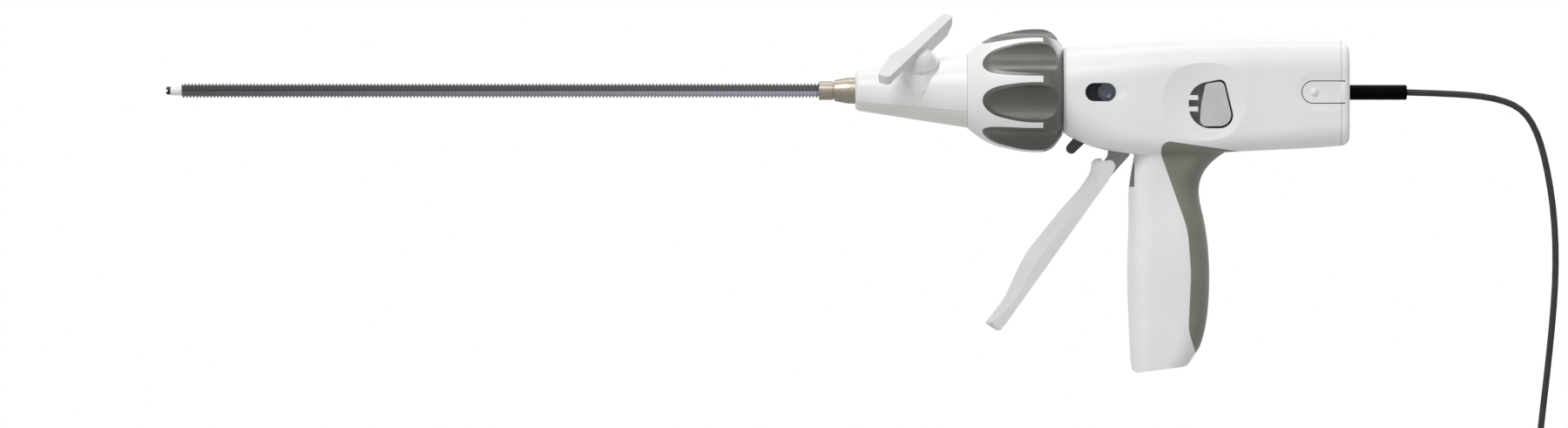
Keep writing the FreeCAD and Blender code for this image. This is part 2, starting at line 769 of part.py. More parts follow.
def bodyRoom(name, inset):
    """The body's side outline, with the grip's slanting foot and the rounded rear of the barrel."""
    foot = f"gripFoot + {inset}"
    return prism(name, "side", [
        ("barrelFront - 10", "gripFoot + 30"),
        ("gripFront - 2", "gripFoot + 20"),
        (f"gripFront + 2.3 + {inset}", foot, "footRound"),
        (f"gripBelly - 10.2 - {inset}", f"{foot} + 3.2", "footRound + 1.5"),
        ("gripBelly + 1", "gripFoot + 20"),
        ("barrelRear + 12", "gripFoot + 30"),
        ("barrelRear - 14", "rearBottom - 1.4"),
        (capRear, "rearBottom + 0.5", "rearRound - 2"),
        (capRear, "barrelTop - 1", "rearRound"),
        ("barrelRear - 14", "barrelTop + 0.8"),
        ("barrelFront - 10", "barrelTop + 9"),
    ], -40, 40)


def strapRegion():
    """The side outline of the soft backstrap, through the whole width."""
    return prism("strap_region", "side", [
        ("strapFront", "strapTop", 4),
        ("strapFront", "strapTop - 6.7", 8),
        ("strapBelly - 1.4", -4, 40),
        ("strapBelly", -24, 60),
        ("strapBelly - 1.2", -50, 20),
        ("strapBelly + 2.6", "strapFoot"),
        ("gripBelly + 12", "strapFoot"),
        ("gripFlare + 8", "gripWaist"),
        ("gripFlare + 8", "strapTop - 6.2"),
    ], -30, 30)


def linerRegion():
    """The side outline of the dark liner down the front edge of the arm's slot."""
    return prism("liner_region", "side", [
        ("gripFront - 6", "bellyBottom - 0.6"),
        ("gripFront - 6", "closePivotZ - 21.7"),
        ("gripFront + 2.9", "closePivotZ - 21.7", 0.6),
        ("gripFront + 2.9", "bellyBottom - 4", 5),
        ("gripFront", "bellyBottom - 0.6"),
    ], -30, 30)


def dishes(name, grow):
    """Hollows in both flanks: a scoop for the thumb round the release button, and a flat one round each tab."""
    scoops, shallows = [], []
    for side, label in ((-1, "left"), (1, "right")):
        scoops.append(ball("scoop_%s_%s" % (name, label), f"scoopRadius + {grow}", "releaseX - 3.7",
                           f"{side} * (barrelHalfWidth + scoopRadius - scoopDepth)", "releaseZ + 2"))
        dish = turned("dish_%s_%s" % (name, label), [
            ("dishFront - dishRadius", 0),
            ("dishFront - dishRadius", "dishRadius", "dishRadius - 0.05"),
            ("barrelRear + 5", "dishRadius"),
            ("barrelRear + 5", 0),
        ])
        shallows.append(place(dish, y=f"{side} * (barrelHalfWidth + dishRadius - dishDepth)", z="tabZ"))
    thumb = ball("switch_dish_" + name, 12, "switchX + switchRadius + 1.9", "-barrelHalfWidth - 10.9", "switchZ")
    return scoops + shallows + [thumb]


def teardrop(name, grow, low, high):
    """The release opening, seen from the side; grow moves its outline out or in."""
    return prism(name, "side", [
        (f"releaseX - 10.5 - {grow}", f"releaseZ + 9 + {grow}", f"9 + {grow}"),
        (f"releaseX + 5.9 + {grow} * 0.6", f"releaseZ + 12.2 + {grow}", f"3 + {grow}"),
        (f"releaseX + 11.4 + {grow}", f"releaseZ - 10.6 - {grow}", f"6 + {grow}"),
        (f"releaseX - 10.5 - {grow}", f"releaseZ - 10.6 - {grow}", f"10 + {grow}"),
    ], low, high)


def tabOutline(name, grow, rear):
    return prism(name, "side", [
        (f"tabFront - {grow}", f"tabZ - tabHalfHeight - {grow}", f"tabHalfHeight + {grow} - 0.05"),
        (rear, f"tabZ - tabHalfHeight - {grow}"),
        (rear, f"tabZ + tabHalfHeight + {grow}"),
        (f"tabFront - {grow}", f"tabZ + tabHalfHeight + {grow}", f"tabHalfHeight + {grow} - 0.05"),
    ], -40, 40)


screwPlaces = [("-24", "axisHeight + 14.2"), ("24", "axisHeight + 17"), ("42.5", "axisHeight - 19.8"), ("5", "24"),
               ("-3", "-58")]


def housing():
    """Two moulded halves, their ribs, bosses and openings, with the soft backstrap and the slot's liner let in."""
    form = common("body_form", fuse("body_solid", barrelLoft("barrel_form", "0", "barrelFront", "barrelRear"),
                                    gripLoft("grip_form", "0")), bodyRoom("body_room", "0"))
    outside = cut("body_outside", form, *dishes("outer", "0"))
    hollow = common("body_hollow", fuse("body_void", barrelLoft("barrel_hollow", "wall", "barrelFront + wall",
                                                                "barrelRear + 1"),
                                        gripLoft("grip_hollow", "wall")), bodyRoom("hollow_room", "wall"))
    inside = cut("body_inside", hollow, *dishes("inner", "wall")[:2])
    under = common("body_under", fuse("body_core", barrelLoft("barrel_core", "skin", "barrelFront", "barrelRear + 1"),
                                      gripLoft("grip_core", "skin")), bodyRoom("core_room", "skin"))
    skinOnly = cut("body_skin", outside, under)
    strap = common("strap_cut", skinOnly, strapRegion())
    node("grip_backstrap", strap)
    lined = common("liner_form", skinOnly, linerRegion())

    shell = cut("body_shell", cut("body_less_trim", outside, strap, lined), inside)

    slabs = []
    for i, (low, high) in enumerate(ribStations):
        slabs.append(box("rib_%d" % i, low, high, -30, 30, "bellyBottom", "barrelTop"))
    for i, at in enumerate(ledgeStations):
        slabs.append(box("ledge_%d" % i, "gripFront", "gripBelly", -20, 20, at, f"{at} + ribThickness"))
    for i, (x, z) in enumerate(screwPlaces):
        slabs.append(rod("boss_%d" % i, "bossRadius", "Y", -25, 25, x=x, z=z))
    slabs.append(rod("close_boss", "pinRadius + 2.6", "Y", -25, 25, x="closePivotX", z="closePivotZ"))
    slabs.append(rod("fire_boss", "pinRadius + 2.4", "Y", -25, 25, x="firePivotX", z="firePivotZ"))
    ribs = common("ribs", inside, fuse("rib_slabs", *slabs))

    armHalf = "(armThickness / 2 + slotGap)"
    fireHalf = "(fireThickness / 2 + slotGap / 2)"
    yokeGap = "(yokeHalfWidth + seatGap)"
    armSlot = box("arm_slot", "closePivotX - 9", "closePivotX + 8", f"-{armHalf}", armHalf, "closePivotZ - 23",
                  "closePivotZ + armLift + 4")
    node("slot_liner", cut("liner", lined, armSlot))
    rooms = [
        armSlot,
        rod("bearing_room", "hubJournal + bearingWall + runGap", "X", "barrelFront - 1", "barrelFront + bearingLength + 5",
            z="axisHeight"),
        rod("gearbox_room", "gearboxRadius + runGap", "X", gearboxFront, "motorRear - motorLength", z="axisHeight"),
        rod("motor_room", "motorRadius + runGap", "X", "motorRear - motorLength - 1", "motorRear + 1", z="axisHeight"),
        box("pack_room", "packFront - contactReach", "barrelRear + 2", "-packHalfWidth - seatGap",
            "packHalfWidth + seatGap", "packBottom - seatGap", "packTop + seatGap"),
        box("fire_slot", "firePivotX - 10", "firePivotX + 5.2", f"-{fireHalf}", fireHalf, "frontBottom - 8",
            "firePivotZ + 5.4"),
        box("yoke_room", "yokeFront - 8", "yokeRear + 4", f"-{yokeGap}", yokeGap, "yokeBottom - seatGap",
            "yokeBottom + yokeHeight + seatGap"),
        rod("close_pin_hole", "pinRadius + runGap / 5", "Y", "-armThickness / 2 - pinSeat", "armThickness / 2 + pinSeat",
            x="closePivotX", z="closePivotZ"),
        rod("fire_pin_hole", "pinRadius + runGap / 5", "Y", "-fireThickness / 2 - pinSeat",
            "fireThickness / 2 + pinSeat", x="firePivotX", z="firePivotZ"),
        tabOutline("tab_notch", "tabGap", "barrelRear + 2"),
        teardrop("release_opening", "0", -30, 30),
        prism("switch_slot", "side", [
            ("switchX - switchTravel - switchRadius - 0.2", "switchZ - switchRadius - 0.2", "switchRadius + 0.15"),
            ("switchX + switchRadius + 0.2", "switchZ - switchRadius - 0.2", "switchRadius + 0.15"),
            ("switchX + switchRadius + 0.2", "switchZ + switchRadius + 0.2", "switchRadius + 0.15"),
            ("switchX - switchTravel - switchRadius - 0.2", "switchZ + switchRadius + 0.2", "switchRadius + 0.15"),
        ], -30, -12),
    ]
    for i, (x, z) in enumerate(screwPlaces):
        rooms.append(rod("screw_hole_%d" % i, "screwRadius + runGap / 5", "Y", "-screwReach", "screwSeat", x=x, z=z))
        rooms.append(rod("head_room_%d" % i, "screwHead + runGap * 3", "Y", "screwSeat", 30, x=x, z=z))
    guides = []
    for i, z in enumerate(("releaseZ + 2.4", "releaseZ - 2.8")):
        for side in (-1, 1):
            inner = "barrelHalfWidth - scoopDepth - 1"
            outer = "barrelHalfWidth - scoopDepth + 0.3"
            low, high = (f"-({outer})", f"-({inner})") if side < 0 else (inner, outer)
            guides.append(box("release_guide_%d_%d" % (i, side + 1), "releaseX - 12", "releaseX - 6.2", low, high,
                              z, f"{z} + 2.2"))
    whole = fuse("body_whole", cut("body_cut", fuse("body_ribbed", shell, ribs), *rooms), *guides)
    for name, low, high in (("housing_left", -30, 0), ("housing_right", 0, 30)):
        half = box(name + "_room", "barrelFront - 5", "barrelRear + 5", low, high, "gripFoot - 10", "barrelTop + 5")
        node(name, common(name + "_half", whole, half))
    return inside, outside


ribStations = [
    ("motorRear - motorLength - 10", "motorRear - motorLength - 10 + ribThickness"),
    ("motorRear - ribThickness", "motorRear"),
    ("packFront + 4", "packFront + 4 + ribThickness"),
    ("packFront + 12", "packFront + 12 + ribThickness"),
]
ledgeStations = ["15.8", "-51.6"]


def releaseButtons(inside):
    """On each flank a grey well behind the teardrop opening, and a button that is pressed into it."""
    for side, name in ((-1, "left"), (1, "right")):
        deep = "motorRadius + 1"
        floor = "motorRadius + 2.2"
        wellLow, wellHigh = (-30, f"-({deep})") if side < 0 else (deep, 30)
        hollowLow, hollowHigh = (-31, f"-({floor})") if side < 0 else (floor, 31)
        well = cut("well_" + name, teardrop("well_form_" + name, "1.3", wellLow, wellHigh),
                   teardrop("well_hollow_" + name, "0.3", hollowLow, hollowHigh))
        node("release_well_" + name, common("well_in_" + name, well, inside))
        inner = "motorRadius + 2.4 + releaseTravel"
        low, high = ("-releaseProud", f"-({inner})") if side < 0 else (inner, "releaseProud")
        button = prism("button_" + name, "side", [
            ("releaseX - 2.9", "releaseZ + 9.8", 1.8),
            ("releaseX + 5.3", "releaseZ + 11.1", 2.6),
            ("releaseX + 10.2", "releaseZ - 9.6", 5.2),
            ("releaseX - 5.6", "releaseZ - 9.6", 3),
            ("releaseX - 4.9", "releaseZ - 0.4", 20),
        ], low, high)
        node("release_button_" + name, button)


def reverseSwitch():
    """A round slider in its slot, on a carriage plate that slides behind the wall."""
    knob = rod("slider", "switchRadius", "Y", "-frontHalfWidth - 1.4", "-carriageFace", x="switchX", z="switchZ")
    dish = ball("slider_dish", "switchRadius * 1.5", "switchX", "-frontHalfWidth - 1.4 - switchRadius * 1.36", "switchZ")
    groove = cut("slider_groove", rod("groove_rim", "switchRadius - 0.7", "Y", "-frontHalfWidth - 2",
                                      "-frontHalfWidth - 0.9", x="switchX", z="switchZ"),
                 rod("groove_core", "switchRadius - 1.1", "Y", "-frontHalfWidth - 3", "-frontHalfWidth", x="switchX",
                     z="switchZ"))
    node("reverse_switch", cut("slider_cut", knob, dish, groove))
    plate = box("carriage", "switchX - switchTravel - switchRadius - 0.6", "switchX + switchRadius + 1.4",
                "-carriageFace + runGap", "-carriageFace + carriageThickness", "switchZ - carriageHeight / 2",
                "switchZ + carriageHeight / 2")
    node("switch_carriage", plate)


# Triggers and yoke

def closingTrigger():
    """A pale channel-shaped shell on a darker arm; the arm's nose stands in the yoke."""
    edge = [
        (-12.8, -8.6, 3, 4.6, -2.2),
        (-13.1, -14.6, 8, 4.6, -1.6),
        (-18.2, -22.4, 12, 3.4, -2.6),
        (-26.6, -31.6, 9, 4.2, -3.2),
        (-43.6, -52.6, 60, 5.4, -3.6),
        (-53.2, -73.4, 30, 4, -2.2),
        (-61.7, -84, 0.8, 3.2, 0.4),
        (-55.4, -88.3, 2.4, 0, 0),
        (-52.4, -84.6, 1.2, 0, 0),
        (-5, -18.4, 4, 0, 0),
        (-1.9, -12.6, 2.4, 0, 0),
        (-3, -8.6, 2.4, 0, 0),
    ]
    full = [(f"closePivotX + {x}", f"closePivotZ + {z}", radius) for x, z, radius, _, _ in edge]
    bevelled = [(f"closePivotX + {x + back}", f"closePivotZ + {z + down}", radius)
                for x, z, radius, back, down in edge]
    form = through("trigger_form", "side", [("-triggerWidth / 2", bevelled), ("-triggerFace / 2", full),
                                            ("triggerFace / 2", full), ("triggerWidth / 2", bevelled)], ruled=True)
    channel = prism("trigger_channel", "side", [
        ("closePivotX - 8.4", "closePivotZ - 17"),
        ("closePivotX - 38", "closePivotZ - 57.8"),
        ("closePivotX - 54.2", "closePivotZ - 82"),
        ("closePivotX - 50", "closePivotZ - 88"),
        ("closePivotX + 4", "closePivotZ - 14"),
        ("closePivotX + 2", "closePivotZ - 4"),
        ("closePivotX - 6.6", "closePivotZ - 4"),
        ("closePivotX - 8.6", "closePivotZ - 10"),
    ], "-triggerWidth / 2 + triggerWall", "triggerWidth / 2 - triggerWall")
    node("closing_trigger_shell", cut("trigger_cut", form, channel))
    arm = prism("arm_form", "side", [
        ("closePivotX - 4.4", "closePivotZ + 0.5", 3),
        ("closePivotX - 5.6", "closePivotZ - 8", 4),
        ("closePivotX - 8", "closePivotZ - 10.4"),
        ("closePivotX - 8", "closePivotZ - 17.2"),
        ("closePivotX - 5.4", "closePivotZ - 18.2"),
        ("closePivotX + 4.6", "closePivotZ - 7.2", 1.5),
        ("closePivotX + 4.4", "closePivotZ + 1", 3),
        ("closePivotX + armNose", "closePivotZ + 4"),
        ("closePivotX + armNose", "closePivotZ + armLift + armNose", "armNose - 0.05"),
        ("closePivotX - armNose", "closePivotZ + armLift + armNose", "armNose - 0.05"),
        ("closePivotX - armNose", "closePivotZ + 4"),
    ], "-armThickness / 2", "armThickness / 2")
    bore = rod("arm_bore", "pinRadius + runGap", "Y", "-armThickness", "armThickness", x="closePivotX",
               z="closePivotZ")
    node("closing_trigger_arm", cut("arm_cut", arm, bore))
    node("closing_trigger_pin", rod("close_pin", "pinRadius", "Y", "-armThickness / 2 - pinSeat + 0.2",
                                    "armThickness / 2 + pinSeat - 0.2", x="closePivotX", z="closePivotZ"))


def firingTrigger():
    length = "sqrt(fireReachX * fireReachX + fireReachZ * fireReachZ)"
    finger = prism("fire_form", "level", [
        ("-fireRadius - 1.4", "-fireRadius - 0.8", "fireRadius"),
        (f"{length} + fireRadius", "-fireRadius", "fireRadius - 0.05"),
        (f"{length} + fireRadius", "fireRadius", "fireRadius - 0.05"),
        ("-fireRadius - 1.4", "fireRadius + 0.8", "fireRadius"),
    ], "-fireThickness / 2", "fireThickness / 2")
    finger.Placement = Placement(Vector(), Rotation(Vector(1, 0, 0), 90))
    leaning = fuse("fire_leaning", finger, rod("fire_eye", "pinRadius + 2", "Y", "-fireThickness / 2",
                                               "fireThickness / 2"))
    place(leaning, x="firePivotX", z="firePivotZ", turn=(0, 1, 0), angle="180 deg - atan(fireReachZ / fireReachX)")
    bore = rod("fire_bore", "pinRadius + runGap", "Y", "-fireThickness", "fireThickness", x="firePivotX",
               z="firePivotZ")
    node("firing_trigger", cut("fire_cut", leaning, bore))
    node("firing_trigger_pin", rod("fire_pin", "pinRadius", "Y", "-fireThickness / 2 - pinSeat + 0.2",
                                   "fireThickness / 2 + pinSeat - 0.2", x="firePivotX", z="firePivotZ"))


def closureYoke():
    """A forked slide that the arm's nose pushes forward as the trigger closes."""
    plate = box("yoke_plate", "yokeFront", "yokeRear", "-yokeHalfWidth", "yokeHalfWidth", "yokeBottom",
                "yokeBottom + yokeHeight")
    fork = box("yoke_fork", "closePivotX - armNose - forkSlack", "yokeRear + 1", "-armThickness / 2 - seatGap",
               "armThickness / 2 + seatGap", "yokeBottom - 1", "yokeBottom + yokeHeight + 1")
    bridge = box("yoke_bridge", "closePivotX + armNose + forkSlack", "yokeRear", "-yokeHalfWidth", "yokeHalfWidth",
                 "yokeBottom", "yokeBottom + yokeHeight")
    node("closure_yoke", fuse("yoke", cut("yoke_cut", plate, fork), bridge))


# Motor, gearbox, boards

def driveTrain():
    motorFront = "(motorRear - motorLength)"
    node("gearbox", turned("gearbox_form", [
        (gearboxFront, "outputRadius + runGap"),
        (gearboxFront, "gearboxRadius", 1.5),
        (f"{motorFront} - runGap", "gearboxRadius"),
        (f"{motorFront} - runGap", "outputRadius - runGap * 10"),
        (f"{motorFront} - 6", "outputRadius - runGap * 10"),
        (f"{motorFront} - 6", 0),
        (f"{gearboxFront} + 7", 0),
        (f"{gearboxFront} + 7", "outputRadius + runGap"),
    ]))
    node("motor_can", turned("motor_form", [
        (motorFront, "outputRadius"),
        (motorFront, "motorRadius"),
        ("motorRear", "motorRadius", 1),
        ("motorRear", 0),
        ("motorRear - motorShell", 0),
        ("motorRear - motorShell", "motorRadius - motorShell"),
        (f"{motorFront} + motorShell", "motorRadius - motorShell"),
        (f"{motorFront} + motorShell", "outputRadius"),
    ]))
    node("motor_rotor", turned("rotor_form", [
        (f"{motorFront} - 5", 0),
        (f"{motorFront} - 5", "outputRadius - 0.6"),
        (f"{motorFront} + 4", "outputRadius - 0.6"),
        (f"{motorFront} + 4", "rotorRadius"),
        ("motorRear - 4", "rotorRadius"),
        ("motorRear - 4", "outputRadius"),
        ("motorRear - motorShell - seatGap", "outputRadius"),
        ("motorRear - motorShell - seatGap", 0),
    ]))


def boards():
    board = box("board", "gripFront + 8", "gripWaist - 6", "-boardThickness / 2", "boardThickness / 2",
                f"{ledgeStations[1]} + ribThickness + runGap", f"{ledgeStations[0]} - runGap")
    chips = [box("chip_%d" % i, x, f"{x} + 6", "boardThickness / 2", "boardThickness / 2 + 1.4", z, f"{z} + 8")
             for i, (x, z) in enumerate((("gripFront + 10", "-40"), ("gripFront + 14", "-22"),
                                         ("gripFront + 10", "-4")))]
    node("control_board", fuse("board_fused", board, *chips))
    case = box("switch_case", "closePivotX + 8.6", "closePivotX + 14.6", "-3", "3",
               f"{ledgeStations[0]} + ribThickness + runGap", f"{ledgeStations[0]} + ribThickness + 7")
    plunger = rod("switch_plunger", 1, "X", "closePivotX + 7.8", "closePivotX + 9", z=f"{ledgeStations[0]} + 6.6")
    node("trigger_microswitch", fuse("microswitch", case, plunger))


def housingScrews():
    screws = []
    for i, (x, z) in enumerate(screwPlaces):
        shank = rod("shank_%d" % i, "screwRadius", "Y", "-screwReach + 0.3", "screwSeat + 0.5", x=x, z=z)
        head = rod("head_%d" % i, "screwHead", "Y", "screwSeat", "screwSeat + 1.6", x=x, z=z)
        socket = rod("head_socket_%d" % i, "screwHead / 2", "Y", "screwSeat + 0.8", "screwSeat + 3", x=x, z=z)
        screws.append(cut("screw_%d" % i, fuse("screw_blank_%d" % i, shank, head), socket))
    group = doc.addObject("Part::Compound", "screws")
    group.Links = screws
    node("housing_screws", group)


# Power pack with its tabs

def powerPack():
    """Rear cap, inner case and contact blades; the pack slides out of the barrel to the rear."""
    outlineCorners = [
        ("-barrelHalfWidth", "rearBottom", "lowRound"),
        ("barrelHalfWidth", "rearBottom", "lowRound"),
        ("barrelHalfWidth", "barrelTop - 0.5", "barrelRound"),
        ("-barrelHalfWidth", "barrelTop - 0.5", "barrelRound"),
    ]
    slab = prism("cap_slab", "front", outlineCorners, "barrelRear + seatGap / 2", capRear)
    doc.recompute()
    rounded = doc.addObject("Part::Fillet", "cap_rounded")
    rounded.Base = slab
    rounded.Edges = [(i, number("capEdge"), number("capEdge")) for i, edge in enumerate(slab.Shape.Edges, start=1)
                     if min(corner.X for corner in edge.Vertexes) > number(capRear) - 0.01]
    bore = rod("boot_bore", "bootRadius + runGap", "X", "barrelRear - 1", f"{capRear} + 1", z="tabZ")
    roots = tabOutline("tab_root_room", "tabGap", "barrelRear + capThickness * 0.45")
    flanks = cut("tab_root_flanks", roots, box("cap_middle", "tabFront - 9", f"{capRear}", "-barrelHalfWidth + wall + 1",
                                              "barrelHalfWidth - wall - 1", "rearBottom", "barrelTop"))
    node("pack_cap", cut("cap_cut", common("cap_shaped", rounded, bodyRoom("cap_room", "0")), bore, flanks))
    case = box("pack_form", "packFront", "barrelRear + seatGap / 2", "-packHalfWidth", "packHalfWidth", "packBottom",
               "packTop")
    doc.recompute()
    soft = doc.addObject("Part::Fillet", "pack_soft")
    soft.Base = case
    soft.Edges = [(i, 2.0, 2.0) for i, edge in enumerate(case.Shape.Edges, start=1)
                  if abs(edge.Vertexes[0].X - edge.Vertexes[-1].X) > 1]
    node("pack_case", soft)
    blades = []
    for i in range(4):
        y = f"({i} - 1.5) * 4"
        blades.append(box("blade_%d" % i, "packFront - contactReach", "packFront", f"{y} - 0.4", f"{y} + 0.4",
                          "axisHeight - 3", "axisHeight + 3"))
    group = doc.addObject("Part::Compound", "blades")
    group.Links = blades
    node("pack_contacts", group)
    block = box("socket_block", "motorRear + runGap", "packFront - seatGap", "-9", "9", "axisHeight - 6",
                "axisHeight + 6")
    slots = [box("socket_slot_%d" % i, "packFront - contactReach - 1", "packFront + 1", f"({i} - 1.5) * 4 - 0.7",
                 f"({i} - 1.5) * 4 + 0.7", "axisHeight - 3.3", "axisHeight + 3.3") for i in range(4)]
    node("contact_socket", cut("socket", block, *slots))


def releaseTabs(inside, outside):
    """Tongues of the barrel's own wall that reach forward from the cap, with a round bump to squeeze."""
    wallRing = cut("tab_wall", outside, inside)
    tongue = tabOutline("tab_form", "0", "barrelRear - tabGap / 2")
    both = common("tabs", wallRing, tongue)
    for name, side in (("left", -1), ("right", 1)):
        low, high = (-40, 0) if side < 0 else (0, 40)
        half = box("tab_room_" + name, "tabFront - 1", "barrelRear", low, high, "bellyBottom", "barrelTop")
        bump = ball("bump_" + name, "bumpRadius", "bumpX", f"{side} * (barrelHalfWidth - bumpRadius * 0.8)", "tabZ")
        trimmed = common("bump_trim_" + name, bump, box("bump_room_" + name, "bumpX - 5", "bumpX + 5",
                                                      "-barrelHalfWidth - 5" if side < 0 else "barrelHalfWidth - 1.6",
                                                      "-barrelHalfWidth + 1.6" if side < 0 else "barrelHalfWidth + 5",
                                                      "tabZ - 5", "tabZ + 5"))
        node("release_tab_" + name, fuse("tab_" + name, common("tab_half_" + name, both, half), trimmed))


# Cord: strain relief, free run, coil, tie, tail and plug

coilX = 172.6
coilZ = -146
cordRoute = [
    (131, 58.7), (150, 57.2), (163.5, 53), (171, 43.5), (176, 27), (179.8, 3), (180.6, -24), (178.2, -54),
    (174.4, -86),
]
tailRoute = [(172.2, -179), (173, -187)]


def tube(name, points):
    """A round cord along straight runs joined by tangent arcs in the plane y = 0."""
    spots = [Vector(x, 0, z) for x, z in points]
    radius = number("cordDiameter") / 2
    edges = []
    start = spots[0]
    for i in range(1, len(spots) - 1):
        back = spots[i - 1] - spots[i]
        ahead = spots[i + 1] - spots[i]
        turn = math.pi - back.getAngle(ahead)
        bend = 0.45 * min(back.Length, ahead.Length) / math.tan(turn / 2)
        reach = bend * math.tan(turn / 2)
        back.normalize()
        ahead.normalize()
        depth = bend / math.cos(turn / 2) - bend
        arrive = spots[i] + back * reach
        leave = spots[i] + ahead * reach
        middle = spots[i] + (back + ahead).normalize() * depth
        edges.append(Part.LineSegment(start, arrive).toShape())
        edges.append(Part.Arc(arrive, middle, leave).toShape())
        start = leave
        print("%s bend %d radius %.1f turn %.0f" % (name, i, bend, math.degrees(turn)))
    edges.append(Part.LineSegment(start, spots[-1]).toShape())
    path = Part.Wire(edges)
    ring = Part.Wire(Part.makeCircle(radius, spots[0], spots[1] - spots[0]))
    solid = path.makePipeShell([ring], True, True)
    print("%s volume ratio %.4f" % (name, solid.Volume / (math.pi * radius * radius * path.Length)))
    feature = doc.addObject("Part::Feature", name)
    feature.Shape = solid
    return feature


def cord():
    node("cord_boot", turned("boot", [
        ("barrelRear + seatGap", 0),
        ("barrelRear + seatGap", "bootRadius"),
        (bootRear, "bootRadius", 0.8),
        (bootRear, 0),
    ], z="tabZ"))
    exit = (number(bootRear) + 0.1, number("tabZ"))
    octagon = number("coilThickness") / 2
    coilTop = coilZ + number("coilRadius") + octagon
    coilFoot = coilZ - number("coilRadius") - octagon
    node("cord", tube("cord_tube", [exit] + cordRoute + [(172.8, coilTop + 0.15)]))
    node("cord_tail", tube("tail_tube", [(coilX, coilFoot - 0.2)] + tailRoute + [(173.2, -192.85)]))
    corner = "coilThickness / 2 * 0.4142"
    ring = outline("coil_ring", "level", [
        (f"coilRadius + {x}", y) for x, y in (
            ("coilThickness / 2", f"-{corner}"), ("coilThickness / 2", corner), (corner, "coilThickness / 2"),
            (f"-{corner}", "coilThickness / 2"), ("-coilThickness / 2", corner), ("-coilThickness / 2", f"-{corner}"),
            (f"-{corner}", "-coilThickness / 2"), (corner, "-coilThickness / 2"))])
    coil = doc.addObject("Part::Revolution", "coil")
    coil.Source = ring
    coil.Axis = Vector(0, 1, 0)
    coil.Angle = 360
    coil.Solid = True
    node("cord_coil", place(coil, x=coilX, z=coilZ))
    bundle = "(coilThickness / 2 * 1.0824 + 0.45)"
    band = cut("tie", rod("tie_outside", f"{bundle} + tieThickness", "Z", f"{coilZ} - tieWidth / 2",
                          f"{coilZ} + tieWidth / 2", x=f"{coilX} - coilRadius"),
               rod("tie_inside", bundle, "Z", f"{coilZ} - tieWidth", f"{coilZ} + tieWidth", x=f"{coilX} - coilRadius"))
    node("coil_tie", band)
    plug = outline("plug", "side", [
        (0, 0),
        ("cordDiameter * 0.75", 0),
        ("plugRadius * 0.62", "-plugLength * 0.36"),
        ("plugRadius", "-plugLength * 0.38", 0.6),
        ("plugRadius", "-plugLength * 0.72"),
        ("plugRadius * 0.86", "-plugLength * 0.72"),
        ("plugRadius * 0.86", "-plugLength"),
        ("plugRadius * 0.7", "-plugLength"),
        ("plugRadius * 0.7", "-plugLength + pinLength + 1"),
        (0, "-plugLength + pinLength + 1"),
    ])
    shell = doc.addObject("Part::Revolution", "plug_shell")
    shell.Source = plug
    shell.Axis = Vector(0, 0, 1)
    shell.Angle = 360
    shell.Solid = True
    pins = [rod("pin_%d" % i, 0.45, "Z", "-plugLength + 1", "-plugLength + pinLength + 1.4",
                x=f"plugRadius * 0.4 * cos({i} * 72)", y=f"plugRadius * 0.4 * sin({i} * 72)") for i in range(5)]
    node("cord_plug", place(fuse("plug_whole", shell, *pins), x=173.2, z=-193))


driveDog()
driveCore()
driveCoupling()
tipCoupling()
flexibleShaft()
shaftFerrule()
noseShells()
articulationLever()
articulationPinion()
articulationRack()
rotationKnob()
knobBearing()
inside, outside = housing()
releaseButtons(inside)
reverseSwitch()
closingTrigger()
firingTrigger()
closureYoke()
driveTrain()
boards()
housingScrews()
powerPack()
releaseTabs(inside, outside)
cord()
doc.recompute()

faults = [thing.Name for thing in doc.Objects if "Invalid" in thing.State or "Error" in thing.State]
for name, solid in nodes.items():
    shape = solid.Shape
    if shape.isNull() or not shape.isValid() or not shape.Solids:
        faults.append(name)
if faults:
    raise RuntimeError("failed: " + ", ".join(faults))
os.makedirs("parts", exist_ok=True)
for name, solid in nodes.items():
    solid.Shape.exportStep("parts/%s.step" % name)
    print("%-26s solids %d volume %.1f" % (name, len(solid.Shape.Solids), solid.Shape.Volume))
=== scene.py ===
import bpy
import bmesh
import math
from mathutils import Matrix, Vector


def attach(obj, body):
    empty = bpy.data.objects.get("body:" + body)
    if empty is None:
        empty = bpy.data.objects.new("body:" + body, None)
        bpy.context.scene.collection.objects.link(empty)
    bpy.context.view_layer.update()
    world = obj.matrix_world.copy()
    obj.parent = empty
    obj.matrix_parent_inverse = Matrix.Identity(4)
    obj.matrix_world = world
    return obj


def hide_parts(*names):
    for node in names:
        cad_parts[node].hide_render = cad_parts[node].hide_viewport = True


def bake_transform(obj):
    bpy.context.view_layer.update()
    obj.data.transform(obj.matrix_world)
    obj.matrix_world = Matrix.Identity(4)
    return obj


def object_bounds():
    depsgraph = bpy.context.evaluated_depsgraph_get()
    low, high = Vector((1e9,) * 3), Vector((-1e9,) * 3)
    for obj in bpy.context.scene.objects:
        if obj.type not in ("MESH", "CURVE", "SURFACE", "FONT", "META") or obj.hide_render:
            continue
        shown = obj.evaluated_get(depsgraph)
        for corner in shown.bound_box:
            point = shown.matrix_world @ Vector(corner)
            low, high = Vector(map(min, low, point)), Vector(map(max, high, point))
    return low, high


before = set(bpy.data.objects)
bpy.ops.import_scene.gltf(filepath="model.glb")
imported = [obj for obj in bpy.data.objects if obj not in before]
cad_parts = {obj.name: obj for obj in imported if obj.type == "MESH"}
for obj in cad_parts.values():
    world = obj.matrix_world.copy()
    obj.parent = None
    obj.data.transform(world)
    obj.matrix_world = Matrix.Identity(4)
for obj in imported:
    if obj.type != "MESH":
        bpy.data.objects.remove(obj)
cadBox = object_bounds()
scene = bpy.context.scene


def report(stage):
    print("stage:", stage)


# camera, level with the middle of the picture and square to the side of the handle

